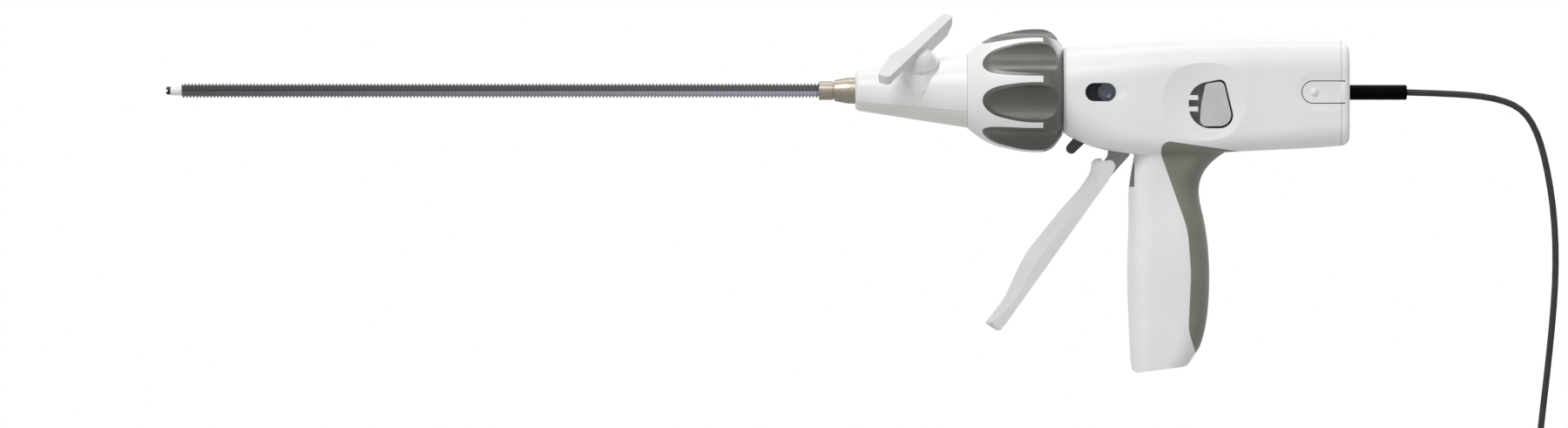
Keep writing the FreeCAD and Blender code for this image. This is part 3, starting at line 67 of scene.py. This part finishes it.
view = {
    "middle": (-0.174, 0.0034),  # x and z that the picture's centre looks at
    "width": 0.72,               # metres across the picture at the handle's middle plane
    "distance": 8.0,
    "sensor": 36.0,
    "clipEnd": 60,
}
cameraData = bpy.data.cameras.new("camera")
cameraData.sensor_width = view["sensor"]
cameraData.lens = view["sensor"] * view["distance"] / view["width"]
cameraData.clip_end = view["clipEnd"]
camera = bpy.data.objects.new("camera", cameraData)
camera.location = (view["middle"][0], -view["distance"], view["middle"][1])
camera.rotation_euler = (math.pi / 2, 0, 0)
scene.collection.objects.link(camera)
scene.camera = camera
report("camera")


# materials, with the sizes of their patterns in millimetres

perMetre = 1000  # millimetres in a metre


def linear(code):
    # an sRGB hex code as linear light
    channels = [int(code[i:i + 2], 16) / 255 for i in (1, 3, 5)]
    return [c / 12.92 if c <= 0.04045 else ((c + 0.055) / 1.055) ** 2.4 for c in channels] + [1]


def addNode(tree, kind, links=(), inputs=(), stops=(), **settings):
    node = tree.nodes.new(kind)
    for name, value in settings.items():
        setattr(node, name, value)
    for name, value in dict(inputs).items():
        node.inputs[name].default_value = value
    for name, source in dict(links).items():
        tree.links.new(source, node.inputs[name])
    if stops:  # a colour ramp's places and hex codes
        elements = node.color_ramp.elements
        while len(elements) < len(stops):
            elements.new(0.5)
        for element, (place, code) in zip(elements, stops):
            element.position = place
            element.color = linear(code)
    return node


def newMaterial(name):
    material = bpy.data.materials.new(name)
    material.use_nodes = True
    tree = material.node_tree
    tree.nodes.clear()
    coordinates = addNode(tree, "ShaderNodeTexCoord").outputs["Object"]
    return material, tree, coordinates


mouldedSkin = {
    "cloudDetail": 3.0,
    "grainDetail": 2.0,
    "bumpStrength": 0.6,
    "blendFrom": 0.34,    # noise values between which the low shade turns into the high one
    "blendTo": 0.66,
    "glossFrom": 0.3,     # noise values between which the roughness goes from its least to its most
    "glossTo": 0.7,
    "glossFall": 0.05,    # how far the least lies below the roughness given, and the most above it
    "glossRise": 0.06,
    "coatRoughness": 0.3,
    "sheenRoughness": 0.5,
}


def moulded(name, low, high, roughness=0.4, grain=0.35, relief=0.012, mottle=14.0,
            coat=0.0, sheen=0.0, shine=0.5):
    # an injection-moulded skin: faint clouding in its colour and gloss, spark-eroded grain in its relief
    # real grain of about 0.1 mm is too fine to show, so it is drawn at 0.3 mm or coarser
    skin = mouldedSkin
    material, tree, where = newMaterial(name)
    cloud = addNode(tree, "ShaderNodeTexNoise", {"Vector": where},
                    {"Scale": perMetre / mottle, "Detail": skin["cloudDetail"]})
    grainNoise = addNode(tree, "ShaderNodeTexNoise", {"Vector": where},
                         {"Scale": perMetre / grain, "Detail": skin["grainDetail"]})
    bump = addNode(tree, "ShaderNodeBump", {"Height": grainNoise.outputs["Fac"]},
                   {"Strength": skin["bumpStrength"], "Distance": relief / perMetre})
    gloss = addNode(tree, "ShaderNodeMapRange", {"Value": cloud.outputs["Fac"]},
                    {"From Min": skin["glossFrom"], "From Max": skin["glossTo"],
                     "To Min": roughness - skin["glossFall"], "To Max": roughness + skin["glossRise"]})
    shade = addNode(tree, "ShaderNodeValToRGB", {"Fac": cloud.outputs["Fac"]},
                    stops=[(skin["blendFrom"], low), (skin["blendTo"], high)])
    shader = addNode(tree, "ShaderNodeBsdfPrincipled",
                     {"Base Color": shade.outputs["Color"], "Roughness": gloss.outputs["Result"],
                      "Normal": bump.outputs["Normal"]},
                     {"Coat Weight": coat, "Coat Roughness": skin["coatRoughness"], "Sheen Weight": sheen,
                      "Sheen Roughness": skin["sheenRoughness"], "Specular IOR Level": shine})
    addNode(tree, "ShaderNodeOutputMaterial", {"Surface": shader.outputs["BSDF"]})
    return material


metalSkin = {
    "lineLength": 12.0,
    "lineDetail": 4.0,
    "bumpStrength": 0.5,
    "bandFrom": 0.3,      # noise values between which shade and roughness go from low to high
    "bandTo": 0.7,
    "glossFall": 0.02,    # how far the least lies below the roughness given, and the most above it
    "glossRise": 0.03,
}


def metal(name, low, high, roughness=0.3, turned=False, fine=0.25, relief=0.004):
    # a drawn or ground metal has fine lines along X, a turned one has them round X
    # a tool's real marks are too fine to show, so the lines are drawn coarser
    skin = metalSkin
    material, tree, where = newMaterial(name)
    along, across = (fine, skin["lineLength"]) if turned else (skin["lineLength"], fine)
    mapping = addNode(tree, "ShaderNodeMapping", {"Vector": where},
                      {"Scale": (perMetre / along, perMetre / across, perMetre / across)})
    lines = addNode(tree, "ShaderNodeTexNoise", {"Vector": mapping.outputs["Vector"]},
                    {"Scale": 1.0, "Detail": skin["lineDetail"]})
    bump = addNode(tree, "ShaderNodeBump", {"Height": lines.outputs["Fac"]},
                   {"Strength": skin["bumpStrength"], "Distance": relief / perMetre})
    gloss = addNode(tree, "ShaderNodeMapRange", {"Value": lines.outputs["Fac"]},
                    {"From Min": skin["bandFrom"], "From Max": skin["bandTo"],
                     "To Min": roughness - skin["glossFall"], "To Max": roughness + skin["glossRise"]})
    shade = addNode(tree, "ShaderNodeValToRGB", {"Fac": lines.outputs["Fac"]},
                    stops=[(skin["bandFrom"], low), (skin["bandTo"], high)])
    shader = addNode(tree, "ShaderNodeBsdfPrincipled",
                     {"Base Color": shade.outputs["Color"], "Roughness": gloss.outputs["Result"],
                      "Normal": bump.outputs["Normal"]}, {"Metallic": 1.0})
    addNode(tree, "ShaderNodeOutputMaterial", {"Surface": shader.outputs["BSDF"]})
    return material


looks = {
    # shells: cool white, with soft wide highlights
    "whiteShell": moulded("satin_white_abs", "#e9ebeb", "#eef0ef", roughness=0.36, mottle=30),
    # the nose's underside: the same plastic a shade greyer and warmer
    "noseWhite": moulded("satin_grey_white_abs", "#e0e0db", "#e6e6e1", roughness=0.38, mottle=26),
    # knob pads: a deep warm grey under a broad pale sheen
    "softGrey": moulded("soft_touch_grey_elastomer", "#403f39", "#474640", roughness=0.33, grain=0.3,
                        relief=0.002, mottle=9, coat=0.4, shine=0.8),
    # backstrap: dull mid grey with a faint bloom and no clear highlight
    "strapGrey": moulded("matte_grey_elastomer", "#74756a", "#7e7f74", roughness=0.52, grain=0.3,
                         relief=0.03, mottle=12, sheen=0.12),
    # flange ring: pale, smooth and slightly waxy
    "ringGrey": moulded("pale_acetal", "#d3d5d4", "#d9dbda", roughness=0.35, mottle=8),
    # articulation lever: a step greyer than the shells, with the same soft highlight
    "leverGrey": moulded("satin_pale_grey_abs", "#d6d7d5", "#dcdddb", roughness=0.36, mottle=18),
    # closing trigger: pale and smooth, a little glossier than the shells
    "triggerPale": moulded("satin_pale_grey_nylon", "#d8d9d9", "#dedfdf", roughness=0.34, mottle=16),
    # its arm: mid grey and duller
    "armGrey": moulded("matte_mid_grey_nylon", "#9b9b9a", "#a5a5a3", roughness=0.42, mottle=8),
    # slot liner: dull dark grey, a painted shadow line in the slot beside the arm
    "linerGrey": moulded("matte_dark_grey_liner_painted_shadow", "#707170", "#787978", roughness=0.46, mottle=8),
    # firing trigger: near black with crisp highlights on its edges
    "firingBlack": moulded("semi_gloss_black_nylon", "#1e1e23", "#25252b", roughness=0.28, mottle=6),
    # reverse slider: dark slate blue, smooth
    "sliderGrey": moulded("blue_grey_acetal", "#3d414b", "#454953", roughness=0.3, mottle=4),
    # its slot: almost black and nearly without shine
    "slotDark": moulded("dark_navy_acetal", "#15171f", "#1b1e28", roughness=0.45, mottle=5, shine=0.3),
    # release buttons: light grey, a clear step darker than the shells
    "buttonGrey": moulded("satin_grey_abs", "#c0c3c1", "#c8cbc9", roughness=0.36, mottle=10),
    # the wells round them: mid grey and dull, so that the button stands out
    "wellGrey": moulded("matte_grey_abs", "#8b8e8b", "#949794", roughness=0.5, mottle=8),
    # coupling sleeve at the tip: creamy off-white, smooth
    "tipPale": moulded("pale_peek", "#e6e6e3", "#eeeeeb", roughness=0.36, mottle=3),
    # drive dog: dark oxide with a weak metallic glint
    "tipDark": metal("blackened_steel", "#2b2b2d", "#3a3a3d", roughness=0.42, turned=True),
    # shaft ferrule: warm grey metal with a soft band of light along it
    "ferruleMetal": metal("satin_champagne_nickel", "#9b9387", "#a29a8e", roughness=0.34, turned=True,
                          fine=0.9, relief=0.0001),
    # drive parts, pins, rack, yoke, clip and screws: neutral grey with fine lines
    "steel": metal("ground_steel", "#8d8e90", "#a7a8aa", roughness=0.3),
    # motor can: darker and calmer than the ground parts
    "motorSteel": metal("drawn_motor_steel", "#7c7e82", "#929498", roughness=0.34),
    # gearbox: light grey with rings from the lathe
    "gearboxMetal": metal("turned_aluminium", "#9b9da0", "#b4b6b9", roughness=0.32, turned=True),
    # rotor: dull dark grey in thin layers
    "rotorIron": metal("laminated_iron", "#4b4b4e", "#5c5c60", roughness=0.46, turned=True, fine=0.5),
    # contact blades: soft yellow metal
    "goldContact": metal("gold_plated_brass", "#b38f45", "#cba75c", roughness=0.24),
    # knob bearing: milky, faintly yellow white
    "bearingPlastic": moulded("natural_acetal", "#e2e2d8", "#eaeae1", roughness=0.34, mottle=5),
    # socket and microswitch: dull black
    "socketBlack": moulded("matte_black_pbt", "#19191b", "#212124", roughness=0.5, mottle=5),
    # pack case: dark grey with a dull skin
    "packGrey": moulded("matte_charcoal_abs", "#4f5154", "#585a5e", roughness=0.46, mottle=12),
    # cord boot and plug: black, its highlights barely lighter than itself
    "bootBlack": moulded("satin_black_rubber", "#020203", "#060607", roughness=0.4, mottle=5, shine=0.03),
    # cord jacket: charcoal, even and dull
    "cordBlack": moulded("matte_charcoal_pvc_jacket", "#3a3a3b", "#414142", roughness=0.5, mottle=4,
                         shine=0.12),
    # coil tie: pale grey with a coarse dry weave
    "tieTape": moulded("woven_nylon_hook_tape", "#cfcfcc", "#dadad7", roughness=0.7, grain=0.6, relief=0.08,
                       mottle=3),
}


boardMask = {
    "trackPitch": 1 / 0.26,
    "trackWidth": 0.06,  # share of the pitch
    "roughness": 0.3,
}


def boardLook(sizes):
    # green solder mask: a glossy green with faint paler lines where the copper tracks run under it
    material, tree, where = newMaterial("green_solder_mask")
    tracks = addNode(tree, "ShaderNodeTexBrick", {"Vector": where},
                     {"Scale": perMetre / sizes["trackPitch"], "Color1": linear("#1b4a2e"),
                      "Color2": linear("#1f5434"), "Mortar": linear("#2d6b45"),
                      "Mortar Size": sizes["trackWidth"]})
    shader = addNode(tree, "ShaderNodeBsdfPrincipled", {"Base Color": tracks.outputs["Color"]},
                     {"Roughness": sizes["roughness"]})
    addNode(tree, "ShaderNodeOutputMaterial", {"Surface": shader.outputs["BSDF"]})
    return material


# the shaft's colour by height and length is mostly painted light: a painted shadow line along the middle, a
# painted lilac grey reflection below it, painted paler to the rear
sheath = {
    "low": 0.0565,    # heights between which the stops below are spread
    "high": 0.0635,
    # stops from the bottom up: painted reflection, painted shadow line at the middle, then the sheath's own
    # charcoal
    "frontStops": [(0.0, "#8c8c8e"), (0.22, "#6e6e71"), (0.42, "#6c6c70"), (0.5, "#3c3c3f"),
                   (0.56, "#4c4c4e"), (0.9, "#454546")],
    "rearStops": [(0.0, "#a0a1a5"), (0.22, "#b0b1bb"), (0.42, "#bcbcca"), (0.5, "#424148"),
                  (0.56, "#626264"), (0.9, "#4b4b4c")],
    # the change from front to rear paints the rear paler, as painted light
    "frontX": -0.44,  # the front stops turn into the rear ones between these
    "rearX": -0.2,
    "cloudSize": 1 / 0.7,
    "cloudDetail": 3.0,
    "relief": 0.01,
    "bumpStrength": 0.4,
    "glossFrom": 0.3,
    "glossTo": 0.7,
    "roughnessLow": 0.36,
    "roughnessHigh": 0.46,
    "shine": 0.35,
}


def shaftLook(sizes):
    # satin charcoal polymer sheath with painted light: its own charcoal above the middle, a painted shadow
    # line along the middle, a painted reflection in pale lilac grey below it, and all of it painted paler
    # towards the rear
    material, tree, where = newMaterial("satin_charcoal_nylon_sheath_painted_shade_and_reflection")
    parts = addNode(tree, "ShaderNodeSeparateXYZ", {"Vector": where})
    height = addNode(tree, "ShaderNodeMapRange", {"Value": parts.outputs["Z"]},
                     {"From Min": sizes["low"], "From Max": sizes["high"]})
    front = addNode(tree, "ShaderNodeValToRGB", {"Fac": height.outputs["Result"]}, stops=sizes["frontStops"])
    rear = addNode(tree, "ShaderNodeValToRGB", {"Fac": height.outputs["Result"]}, stops=sizes["rearStops"])
    along = addNode(tree, "ShaderNodeMapRange", {"Value": parts.outputs["X"]},
                    {"From Min": sizes["frontX"], "From Max": sizes["rearX"]})
    tone = addNode(tree, "ShaderNodeMix", {"Factor": along.outputs["Result"], "A": front.outputs["Color"],
                                           "B": rear.outputs["Color"]}, data_type="RGBA")
    cloud = addNode(tree, "ShaderNodeTexNoise", {"Vector": where},
                    {"Scale": perMetre / sizes["cloudSize"], "Detail": sizes["cloudDetail"]})
    grain = addNode(tree, "ShaderNodeBump", {"Height": cloud.outputs["Fac"]},
                    {"Strength": sizes["bumpStrength"], "Distance": sizes["relief"] / perMetre})
    gloss = addNode(tree, "ShaderNodeMapRange", {"Value": cloud.outputs["Fac"]},
                    {"From Min": sizes["glossFrom"], "From Max": sizes["glossTo"],
                     "To Min": sizes["roughnessLow"], "To Max": sizes["roughnessHigh"]})
    shader = addNode(tree, "ShaderNodeBsdfPrincipled",
                     {"Base Color": tone.outputs["Result"], "Roughness": gloss.outputs["Result"],
                      "Normal": grain.outputs["Normal"]}, {"Specular IOR Level": sizes["shine"]})
    addNode(tree, "ShaderNodeOutputMaterial", {"Surface": shader.outputs["BSDF"]})
    return material


looks["board"] = boardLook(boardMask)
looks["shaft"] = shaftLook(sheath)

dressed = {
    "whiteShell": ["housing_left", "housing_right", "knob_core", "nose_upper_shell", "release_tab_left",
                   "release_tab_right", "pack_cap"],
    "noseWhite": ["nose_lower_shell"],
    "softGrey": ["knob_overmould"],
    "strapGrey": ["grip_backstrap"],
    "ringGrey": ["knob_flange_ring"],
    "leverGrey": ["articulation_lever"],
    "triggerPale": ["closing_trigger_shell"],
    "armGrey": ["closing_trigger_arm"],
    "linerGrey": ["slot_liner"],
    "firingBlack": ["firing_trigger"],
    "sliderGrey": ["reverse_switch"],
    "slotDark": ["switch_carriage"],
    "buttonGrey": ["release_button_left", "release_button_right"],
    "wellGrey": ["release_well_left", "release_well_right"],
    "ferruleMetal": ["shaft_ferrule"],
    "tipPale": ["tip_coupling"],
    "tipDark": ["tip_drive_dog"],
    "steel": ["drive_core", "drive_coupling", "articulation_pinion", "articulation_rack", "closure_yoke",
              "closing_trigger_pin", "firing_trigger_pin", "knob_clip", "housing_screws"],
    "bearingPlastic": ["knob_bearing"],
    "gearboxMetal": ["gearbox"],
    "motorSteel": ["motor_can"],
    "rotorIron": ["motor_rotor"],
    "socketBlack": ["contact_socket", "trigger_microswitch"],
    "packGrey": ["pack_case"],
    "goldContact": ["pack_contacts"],
    "board": ["control_board"],
    "bootBlack": ["cord_boot", "cord_plug"],
    "tieTape": ["coil_tie"],
}
for look, names in dressed.items():
    for name in names:
        mesh = bpy.data.objects[name].data
        mesh.materials.clear()
        mesh.materials.append(looks[look])
report("materials")


# cord: free run, put-away coil and tail as one spline

cordSizes = {
    "diameter": 0.0031,
    "length": 3.05,
    "exit": (0.1121, 0, 0.0592),
    "route": [(0.1121, 0.0592), (0.131, 0.0587), (0.150, 0.0572), (0.1635, 0.053), (0.171, 0.0435),
              (0.176, 0.027), (0.1798, 0.003), (0.1806, -0.024), (0.1782, -0.054), (0.1745, -0.086)],
    "lead": [(0.1722, -0.001, -0.106), (0.1665, -0.004, -0.1195)],
    "coilMiddle": (0.1726, -0.146),
    "coilRadius": 0.0178,
    # each row's y, what its first and last turn add to the radius, and its number of turns
    "rows": [(-0.0067, 0.0031, -0.0031, 3), (-0.00403, -0.00465, 0.00465, 4), (-0.00134, 0.0054, -0.007, 5),
             (0.00134, -0.0054, 0.007, 5), (0.00403, 0.00465, -0.00465, 4), (0.0067, -0.0031, 0.0031, 3)],
    "startAngle": -45,
    "steps": 16,
    "turns": 23,
    "extraSteps": 2,    # past the last whole turn, so that it leaves the coil at its left, heading down
    "crossFrom": 0.66,  # share of a turn after which it crosses to the next turn's place
    "tail": [(0.1531, 0.0066, -0.1590), (0.1640, 0.006, -0.1740), (0.1703, 0.003, -0.1815),
             (0.1729, 0, -0.1880), (0.1732, 0, -0.1928)],
    "resolution": 3,
    "bevelResolution": 3,
}


def coilPoints(sizes):
    # each turn keeps its place in the bundle until it crosses to the next place
    places = []
    for side, first, last, count in sizes["rows"]:
        for i in range(count):
            places.append((first + (last - first) * i / (count - 1), side))
    points = []
    steps = sizes["steps"]
    shrink = 0.75 + 0.25 * math.cos(2 * math.pi / steps)  # a spline of order 3 runs inside its points
    start = math.radians(sizes["startAngle"])
    for i in range(sizes["turns"] * steps + sizes["extraSteps"] + 1):
        turn, part = divmod(i, steps)
        grow, side = places[turn]
        if turn + 1 < len(places):
            over = max(0.0, (part / steps - sizes["crossFrom"]) / (1 - sizes["crossFrom"]))
            grow += (places[turn + 1][0] - grow) * over
            side += (places[turn + 1][1] - side) * over
        radius = (sizes["coilRadius"] + grow) / shrink
        angle = start - 2 * math.pi * i / steps
        points.append((sizes["coilMiddle"][0] + radius * math.sin(angle), side,
                       sizes["coilMiddle"][1] + radius * math.cos(angle)))
    return points


def makeCord(sizes):
    points = [(x, 0, z) for x, z in sizes["route"]] + sizes["lead"] + coilPoints(sizes) + sizes["tail"]
    curve = bpy.data.curves.new("cord_run", "CURVE")
    curve.dimensions = "3D"
    spline = curve.splines.new("NURBS")
    spline.points.add(len(points) - 1)
    for spot, point in zip(spline.points, points):
        spot.co = (*point, 1)
    spline.order_u = 3
    spline.use_endpoint_u = True
    spline.resolution_u = sizes["resolution"]
    curve.bevel_depth = sizes["diameter"] / 2
    curve.bevel_resolution = sizes["bevelResolution"]
    curve.use_fill_caps = True
    curve.materials.append(looks["cordBlack"])
    cord = bpy.data.objects.new("cord_run", curve)
    scene.collection.objects.link(cord)
    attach(cord, "power_pack")
    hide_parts("cord", "cord_tail", "cord_coil")


makeCord(cordSizes)
report("cord")


# ribbed shaft: one rib's outline screwed along the whole length, cut square at both ends

shaftSizes = {
    "front": -0.4505,
    "rear": -0.1353,
    "height": 0.060,
    "crest": 0.0034,
    "depth": 0.0009,
    "pitch": 0.00158,
    "crestPower": 1.3,     # above 1 the ribs are narrower than the gaps
    "bore": 0.0024,
    "around": 40,
    "perPitch": 8,
    "overrun": 1.5,        # pitches that the screw starts ahead of the front cut
    "weld": 0.00001,       # vertices closer than this are one
    "cutWithin": 0.000001,
    "sharpAngle": 60,
}


def makeShaft(sizes):
    shape = bmesh.new()
    start = sizes["front"] - sizes["overrun"] * sizes["pitch"]
    outline = []
    for i in range(sizes["perPitch"] + 1):
        share = i / sizes["perPitch"]
        rise = (0.5 - 0.5 * math.cos(2 * math.pi * share)) ** sizes["crestPower"]
        radius = sizes["crest"] - sizes["depth"] * (1 - rise)
        outline.append(shape.verts.new((start + sizes["pitch"] * share, 0, sizes["height"] + radius)))
    edges = [shape.edges.new(pair) for pair in zip(outline, outline[1:])]
    # one turn of the screw, which ends a pitch further on, is doubled until it reaches the rear
    bmesh.ops.spin(shape, geom=outline + edges, cent=(0, 0, sizes["height"]), axis=(1, 0, 0),
                   dvec=(sizes["pitch"] / sizes["around"], 0, 0), angle=2 * math.pi, steps=sizes["around"])
    turns = 1
    while start + turns * sizes["pitch"] < sizes["rear"]:
        copy = bmesh.ops.duplicate(shape, geom=shape.verts[:] + shape.edges[:] + shape.faces[:])["geom"]
        moved = [part for part in copy if isinstance(part, bmesh.types.BMVert)]
        bmesh.ops.translate(shape, verts=moved, vec=(turns * sizes["pitch"], 0, 0))
        turns *= 2
    bmesh.ops.remove_doubles(shape, verts=shape.verts, dist=sizes["weld"])
    for x, side in ((sizes["front"], -1), (sizes["rear"], 1)):
        bmesh.ops.bisect_plane(shape, geom=shape.verts[:] + shape.edges[:] + shape.faces[:],
                               dist=sizes["cutWithin"], plane_co=(x, 0, 0), plane_no=(side, 0, 0),
                               clear_outer=True)
    outer = [edge for edge in shape.edges if edge.is_boundary]
    rings = []
    for x in (sizes["front"], sizes["rear"]):
        circle = bmesh.ops.create_circle(shape, segments=sizes["around"], radius=sizes["bore"])["verts"]
        bmesh.ops.rotate(shape, verts=circle, cent=(0, 0, 0), matrix=Matrix.Rotation(math.pi / 2, 3, "Y"))
        bmesh.ops.translate(shape, verts=circle, vec=(x, 0, sizes["height"]))
        ring = list({edge for vert in circle for edge in vert.link_edges})
        rings.append(ring)
        rim = [edge for edge in outer if abs(edge.verts[0].co.x - x) < sizes["weld"]]
        bmesh.ops.bridge_loops(shape, edges=ring + rim)
    bmesh.ops.bridge_loops(shape, edges=rings[0] + rings[1])
    bmesh.ops.recalc_face_normals(shape, faces=shape.faces)
    mesh = bpy.data.meshes.new("shaft_winding")
    shape.to_mesh(mesh)
    shape.free()
    mesh.shade_smooth()
    mesh.set_sharp_from_angle(angle=math.radians(sizes["sharpAngle"]))
    mesh.materials.append(looks["shaft"])
    shaft = bpy.data.objects.new("shaft_winding", mesh)
    scene.collection.objects.link(shaft)
    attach(shaft, "knob_group")
    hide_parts("flexible_shaft")


makeShaft(shaftSizes)
report("shaft")


# living hinges: a thin bridge at each squeeze tab's root

hingeSizes = {
    "front": 0.0810,
    "rear": 0.0830,
    "inner": 0.0199,
    "outerFront": 0.0214,
    "outerRear": 0.0217,
    "low": 0.0544,
    "high": 0.0640,
    "edge": 0.00015,
    "edgeSegments": 2,
    "cuts": 5,
    "longShare": 0.5,      # level edges longer than this share of the bridge are cut, so that it can bend
    "levelWithin": 0.0001,
    "sharpAngle": 50,
}


def makeHinge(sizes, name, side):
    shape = bmesh.new()
    bmesh.ops.create_cube(shape, size=1)
    middle = [(sizes["front"] + sizes["rear"]) / 2, (sizes["inner"] + sizes["outerFront"]) / 2,
              (sizes["low"] + sizes["high"]) / 2]
    bmesh.ops.scale(shape, verts=shape.verts, vec=(sizes["rear"] - sizes["front"],
                                                   sizes["outerFront"] - sizes["inner"],
                                                   sizes["high"] - sizes["low"]))
    bmesh.ops.translate(shape, verts=shape.verts, vec=middle)
    proud = [vert for vert in shape.verts if vert.co.x > middle[0] and vert.co.y > middle[1]]
    bmesh.ops.translate(shape, verts=proud, vec=(0, sizes["outerRear"] - sizes["outerFront"], 0))
    bmesh.ops.scale(shape, verts=shape.verts, vec=(1, side, 1))
    bmesh.ops.bevel(shape, geom=shape.edges, offset=sizes["edge"], segments=sizes["edgeSegments"],
                    profile=0.5, affect="EDGES", material=-1)
    longest = (sizes["rear"] - sizes["front"]) * sizes["longShare"]
    runs = [edge for edge in shape.edges if edge.calc_length() > longest
            and abs(edge.verts[0].co.z - edge.verts[1].co.z) < sizes["levelWithin"]]
    bmesh.ops.subdivide_edges(shape, edges=runs, cuts=sizes["cuts"], use_grid_fill=True)
    bmesh.ops.recalc_face_normals(shape, faces=shape.faces)
    mesh = bpy.data.meshes.new(name)
    shape.to_mesh(mesh)
    shape.free()
    mesh.shade_smooth()
    mesh.set_sharp_from_angle(angle=math.radians(sizes["sharpAngle"]))
    mesh.materials.append(looks["whiteShell"])
    hinge = bpy.data.objects.new(name, mesh)
    scene.collection.objects.link(hinge)
    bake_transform(hinge)


makeHinge(hingeSizes, "hinge_left", -1)
makeHinge(hingeSizes, "hinge_right", 1)
report("living hinges")


# floor, world and lamps

studio = {
    "floorRadius": 3.0,
    "floorSegments": 96,
    "floorDrop": 0.001,
    "floorStops": [(0.3, "#cdcdcd"), (0.7, "#d0d0d0")],
    "floorScale": 3.0,
    "floorRoughness": 0.9,
    "worldLevel": 0.36,
    "lamps": [
        # name, place, aim, width, height, watts
        ("key", (-1.05, -1.65, 1.75), (-0.1, 0, 0.03), 1.6, 1.0, 36.0),
        ("top", (0.05, 0.3, 1.9), (-0.05, 0, 0.05), 2.2, 0.7, 11.0),
        ("back", (0.9, 1.6, 1.1), (0.0, 0, 0.03), 1.4, 1.2, 10.0),
        ("fill", (1.3, -1.9, 0.5), (0.0, 0, 0.02), 1.4, 1.4, 2.5),
    ],
}


def makeStudio(sizes):
    # painted board: pale grey, even and without shine
    material, tree, where = newMaterial("matte_painted_floor")
    cloud = addNode(tree, "ShaderNodeTexNoise", {"Vector": where}, {"Scale": sizes["floorScale"]})
    shade = addNode(tree, "ShaderNodeValToRGB", {"Fac": cloud.outputs["Fac"]}, stops=sizes["floorStops"])
    shader = addNode(tree, "ShaderNodeBsdfPrincipled", {"Base Color": shade.outputs["Color"]},
                     {"Roughness": sizes["floorRoughness"]})
    addNode(tree, "ShaderNodeOutputMaterial", {"Surface": shader.outputs["BSDF"]})
    shape = bmesh.new()
    bmesh.ops.create_circle(shape, cap_ends=True, segments=sizes["floorSegments"],
                            radius=sizes["floorRadius"])
    mesh = bpy.data.meshes.new("studio_floor")
    shape.to_mesh(mesh)
    shape.free()
    mesh.materials.append(material)
    floor = bpy.data.objects.new("studio_floor", mesh)
    floor.location = (0, 0, cadBox[0][2] - sizes["floorDrop"])
    scene.collection.objects.link(floor)

    # the world is seen and mirrored as white, and lights more weakly
    world = bpy.data.worlds.new("studio_world")
    world.use_nodes = True
    tree = world.node_tree
    tree.nodes.clear()
    path = addNode(tree, "ShaderNodeLightPath")
    either = addNode(tree, "ShaderNodeMath", {0: path.outputs["Is Camera Ray"],
                                              1: path.outputs["Is Glossy Ray"]}, operation="MAXIMUM")
    seen = addNode(tree, "ShaderNodeMath", {0: either.outputs[0],
                                            1: path.outputs["Is Transmission Ray"]}, operation="MAXIMUM")
    soft = addNode(tree, "ShaderNodeBackground",
                   inputs={"Color": linear("#ffffff"), "Strength": sizes["worldLevel"]})
    white = addNode(tree, "ShaderNodeBackground", inputs={"Color": linear("#ffffff"), "Strength": 1.0})
    mix = addNode(tree, "ShaderNodeMixShader", {0: seen.outputs[0], 1: soft.outputs[0], 2: white.outputs[0]})
    addNode(tree, "ShaderNodeOutputWorld", {"Surface": mix.outputs[0]})
    scene.world = world

    for name, place, aim, width, height, watts in sizes["lamps"]:
        lamp = bpy.data.lights.new(name, "AREA")
        lamp.shape = "RECTANGLE"
        lamp.size = width
        lamp.size_y = height
        lamp.energy = watts
        lampObject = bpy.data.objects.new(name, lamp)
        lampObject.location = place
        lampObject.rotation_euler = (Vector(aim) - Vector(place)).to_track_quat("-Z", "Y").to_euler()
        scene.collection.objects.link(lampObject)


makeStudio(studio)
scene.view_settings.view_transform = "Standard"
report("studio")
